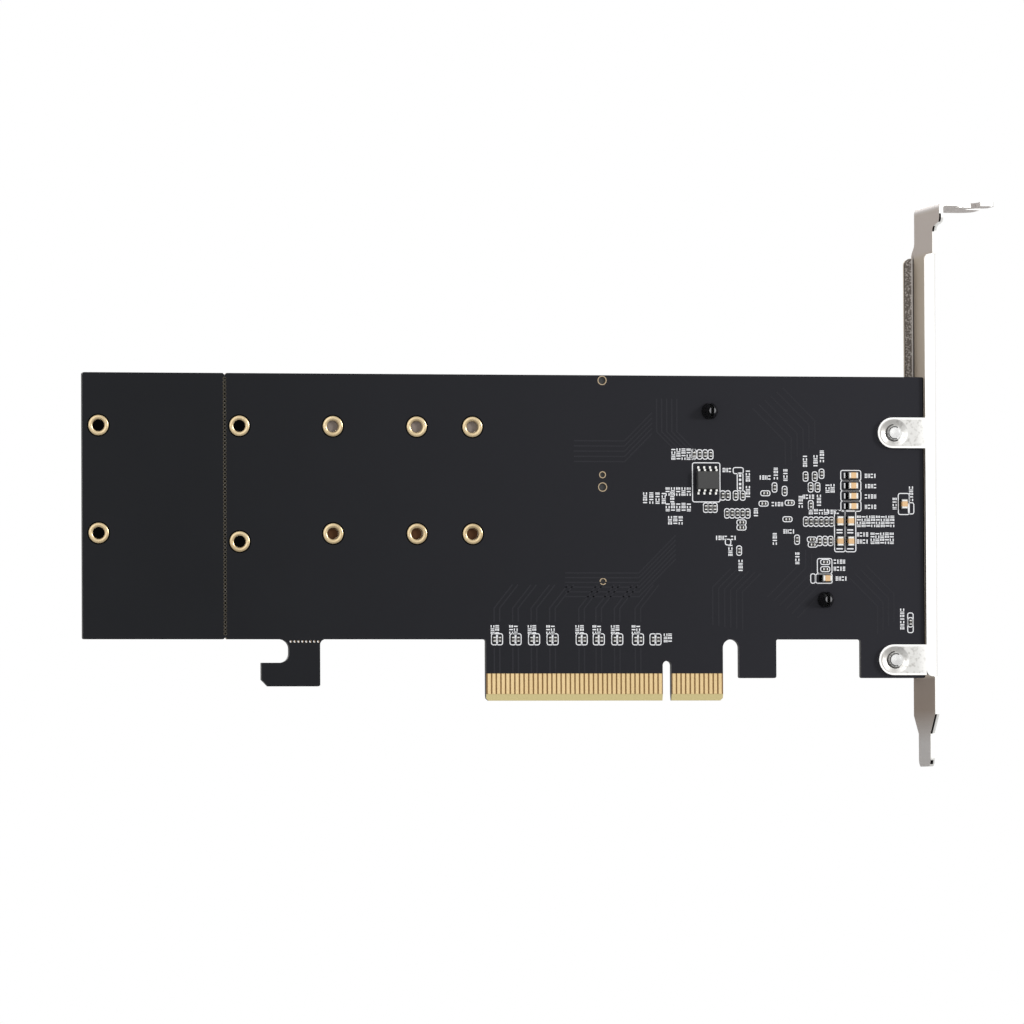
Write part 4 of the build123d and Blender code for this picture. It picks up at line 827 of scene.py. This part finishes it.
# The component side has the same kind of print round its parts and beside the drive columns
hidden_frames = [(46.4, 38.0, 7.6, 7.6), (46.4, 30.0, 5.0, 5.0), (4.4, 20.5, 4.2, 3.5),
                 (53.6, 22.0, 2.4, 1.6), (53.6, 26.0, 2.4, 1.6)]
hidden_frames += [(46.4, 22.5 - 3.2 * i, 4.2, 3.0) for i in range(3)]
hidden_outlines = outlines(hidden_frames, print_line, print_height, print_corner, side=1)
add_piece("component_side_outlines", *hidden_outlines, print_white, None)
hidden_marks = [((x, z + 4.2), 4) for x in columns for z in rows]
hidden_marks += [((51.0, 38.0), 2), ((50.4, 30.0), 2), ((4.4, 23.2), 2), ((50.6, 22.5), 3),
                 ((-20.6, 60.0), 3)]
hidden_strokes = []
for number, (middle, count) in enumerate(hidden_marks):
    hidden_strokes += print_marks(middle, count, (0.8, 1.3), 1.05, first=number)
hidden_strokes = np.asarray(hidden_strokes)
hidden_blocks = blocks(hidden_strokes[:, :2], hidden_strokes[:, 2:], print_height, side=1)
add_piece("component_side_marks", *hidden_blocks, print_white, None)


# Tracks under the solder mask

def bundle(start, bend, end, count, step):
    """Parallel tracks: each is the first path moved sideways by a whole number of steps."""
    return [[(x + step[0] * i, z + step[1] * i) for x, z in (start, bend, end)] for i in range(count)]


tracks, track_shifts = [], (-0.6, 0.6)
for x in pair_middles[:8]:
    tracks += [[(x + dx, 5.8), (x + dx, 11.2)] for dx in track_shifts]
    tracks += [[(x + dx, 16.6), (x + dx, 19.5), (x + dx + 4.0, 24.5)] for dx in track_shifts]
tracks += bundle((-20.0, 55.0), (-9.0, 55.0), (-3.0, 61.0), 5, (0.0, -1.1))
tracks += bundle((-22.0, 27.0), (-6.0, 27.0), (2.0, 35.0), 6, (0.0, -1.0))
tracks += bundle((-2.0, 64.0), (-2.0, 57.0), (2.0, 53.0), 5, (1.1, 0.0))
tracks += bundle((14.0, 28.0), (10.0, 24.0), (10.0, 16.0), 6, (1.3, -0.2))
tracks += bundle((19.0, 62.0), (26.0, 55.0), (26.0, 50.0), 6, (1.3, 0.9))
tracks += bundle((22.0, 22.0), (29.0, 29.0), (29.0, 33.0), 6, (1.3, -0.9))
tracks += bundle((40.0, 26.0), (46.0, 20.0), (46.0, 14.0), 4, (1.2, 0.9))
add_piece("masked_tracks", *ribbons(tracks, 0.28, 0.012), track_black, "board_mask")


# Screw ends in the lugs

lug_face = 0.9


def arc(place, radius, start, end, steps=18):
    """Points on a circle about a place, from one angle to another in degrees."""
    turn = np.radians(np.linspace(start, end, steps))
    return np.stack([place[0] + radius * np.cos(turn), place[1] + radius * np.sin(turn)], axis=1)


# (radius, height over the lug) of a domed end
dome = [(1.15, -0.5), (1.15, 0.2), (1.0, 0.27), (0.0001, 0.30)]
end_profile = [(radius, lug_face + height) for radius, height in dome]
groove_width, groove_height = 0.22, 0.06
add_piece("screw_end_faces", *turned_discs(tab_screws, end_profile, 48), screw_zinc, "screw_steel")
# Painted shade: dark arcs round each screw end, on the side away from the light
for name, radius, start, end, level in (("inner", 1.30, 60, 290, 0.24), ("outer", 1.76, 95, 300, -0.33)):
    grooves = [arc(place, radius, start, end) for place in tab_screws]
    surface = ribbons(grooves, groove_width, groove_height, base=lug_face + level)
    add_piece("screw_end_grooves_" + name, *surface, groove_shade, "black_screw")


# Stage, lamps and camera

def emission_world():
    """Even studio light, and plain white wherever the camera or a reflection looks past the card."""
    world = bpy.data.worlds.new("studio")
    bpy.context.scene.world = world
    world.use_nodes = True
    tree = world.node_tree
    back = tree.nodes["Background"]
    seen = tree.nodes.new("ShaderNodeLightPath")
    first = tree.nodes.new("ShaderNodeMath")
    first.operation = "MAXIMUM"
    second = tree.nodes.new("ShaderNodeMath")
    second.operation = "MAXIMUM"
    strength = tree.nodes.new("ShaderNodeMapRange")
    strength.inputs["To Min"].default_value = 0.55
    strength.inputs["To Max"].default_value = 1.0
    tree.links.new(seen.outputs["Is Camera Ray"], first.inputs[0])
    tree.links.new(seen.outputs["Is Glossy Ray"], first.inputs[1])
    tree.links.new(first.outputs[0], second.inputs[0])
    tree.links.new(seen.outputs["Is Transmission Ray"], second.inputs[1])
    tree.links.new(second.outputs[0], strength.inputs["Value"])
    tree.links.new(strength.outputs[0], back.inputs["Strength"])
    back.inputs["Color"].default_value = (1, 1, 1, 1)


def floor_stage():
    """A pale floor just under the bracket's end, seen only from above."""
    reach, level = 1200.0 * millimetre, -14.6 * millimetre
    corners = [(-reach, -reach, level), (reach, -reach, level), (reach, reach, level),
               (-reach, reach, level)]
    mesh = bpy.data.meshes.new("floor")
    mesh.from_pydata(corners, [], [(0, 1, 2, 3)])
    floor = bpy.data.objects.new("floor", mesh)
    bpy.context.scene.collection.objects.link(floor)
    material = bpy.data.materials.new("pale_floor")
    material.use_nodes = True
    tree = material.node_tree
    shader = tree.nodes["Principled BSDF"]
    shader.inputs["Base Color"].default_value = (0.86, 0.86, 0.86, 1)
    shader.inputs["Roughness"].default_value = 0.9
    shader.inputs["Specular IOR Level"].default_value = 0.1
    clear = tree.nodes.new("ShaderNodeBsdfTransparent")
    side = tree.nodes.new("ShaderNodeNewGeometry")
    mix = tree.nodes.new("ShaderNodeMixShader")
    tree.links.new(side.outputs["Backfacing"], mix.inputs["Fac"])
    tree.links.new(shader.outputs["BSDF"], mix.inputs[1])
    tree.links.new(clear.outputs["BSDF"], mix.inputs[2])
    tree.links.new(mix.outputs["Shader"], tree.nodes["Material Output"].inputs["Surface"])
    mesh.materials.append(material)


def lamp(name, towards, strength, spread_angle):
    """A distant lamp whose light travels along a direction."""
    data = bpy.data.lights.new(name, "SUN")
    data.energy = strength
    data.angle = radians(spread_angle)
    lamp_object = bpy.data.objects.new(name, data)
    lamp_object.rotation_euler = Vector(towards).to_track_quat("-Z", "Y").to_euler()
    bpy.context.scene.collection.objects.link(lamp_object)


def photo_camera():
    """The photograph's camera: its place, and the turn of its view, in the card's own frame."""
    place = Vector([length * millimetre for length in (-455.1, -2000.0, -36.5)])
    yaw, pitch, roll = radians(11.91), radians(2.14), radians(-0.27)
    focal_px, frame_px, sensor = 9677.0, 1024.0, 36.0
    forward = Vector((sin(yaw) * cos(pitch), cos(yaw) * cos(pitch), sin(pitch)))
    right = Vector((cos(yaw), -sin(yaw), 0.0))
    up = right.cross(forward)
    right_turned = right * cos(roll) + up * sin(roll)
    up_turned = up * cos(roll) - right * sin(roll)
    data = bpy.data.cameras.new("photo_camera")
    data.sensor_width = sensor
    data.lens = focal_px * sensor / frame_px
    data.clip_start, data.clip_end = 50.0 * millimetre, 20000.0 * millimetre
    camera = bpy.data.objects.new("photo_camera", data)
    turn = Matrix((right_turned, up_turned, -forward)).transposed().to_4x4()
    camera.matrix_world = Matrix.Translation(place) @ turn
    bpy.context.scene.collection.objects.link(camera)
    bpy.context.scene.camera = camera


emission_world()
floor_stage()
lamp("key_from_right", (-0.75, 0.62, -0.22), 1.5, 12)
lamp("front_fill", (0.15, 1.0, -0.25), 0.5, 40)
lamp("back_fill", (0.3, -0.9, -0.5), 1.4, 30)
photo_camera()
bpy.context.scene.view_settings.view_transform = "Standard"
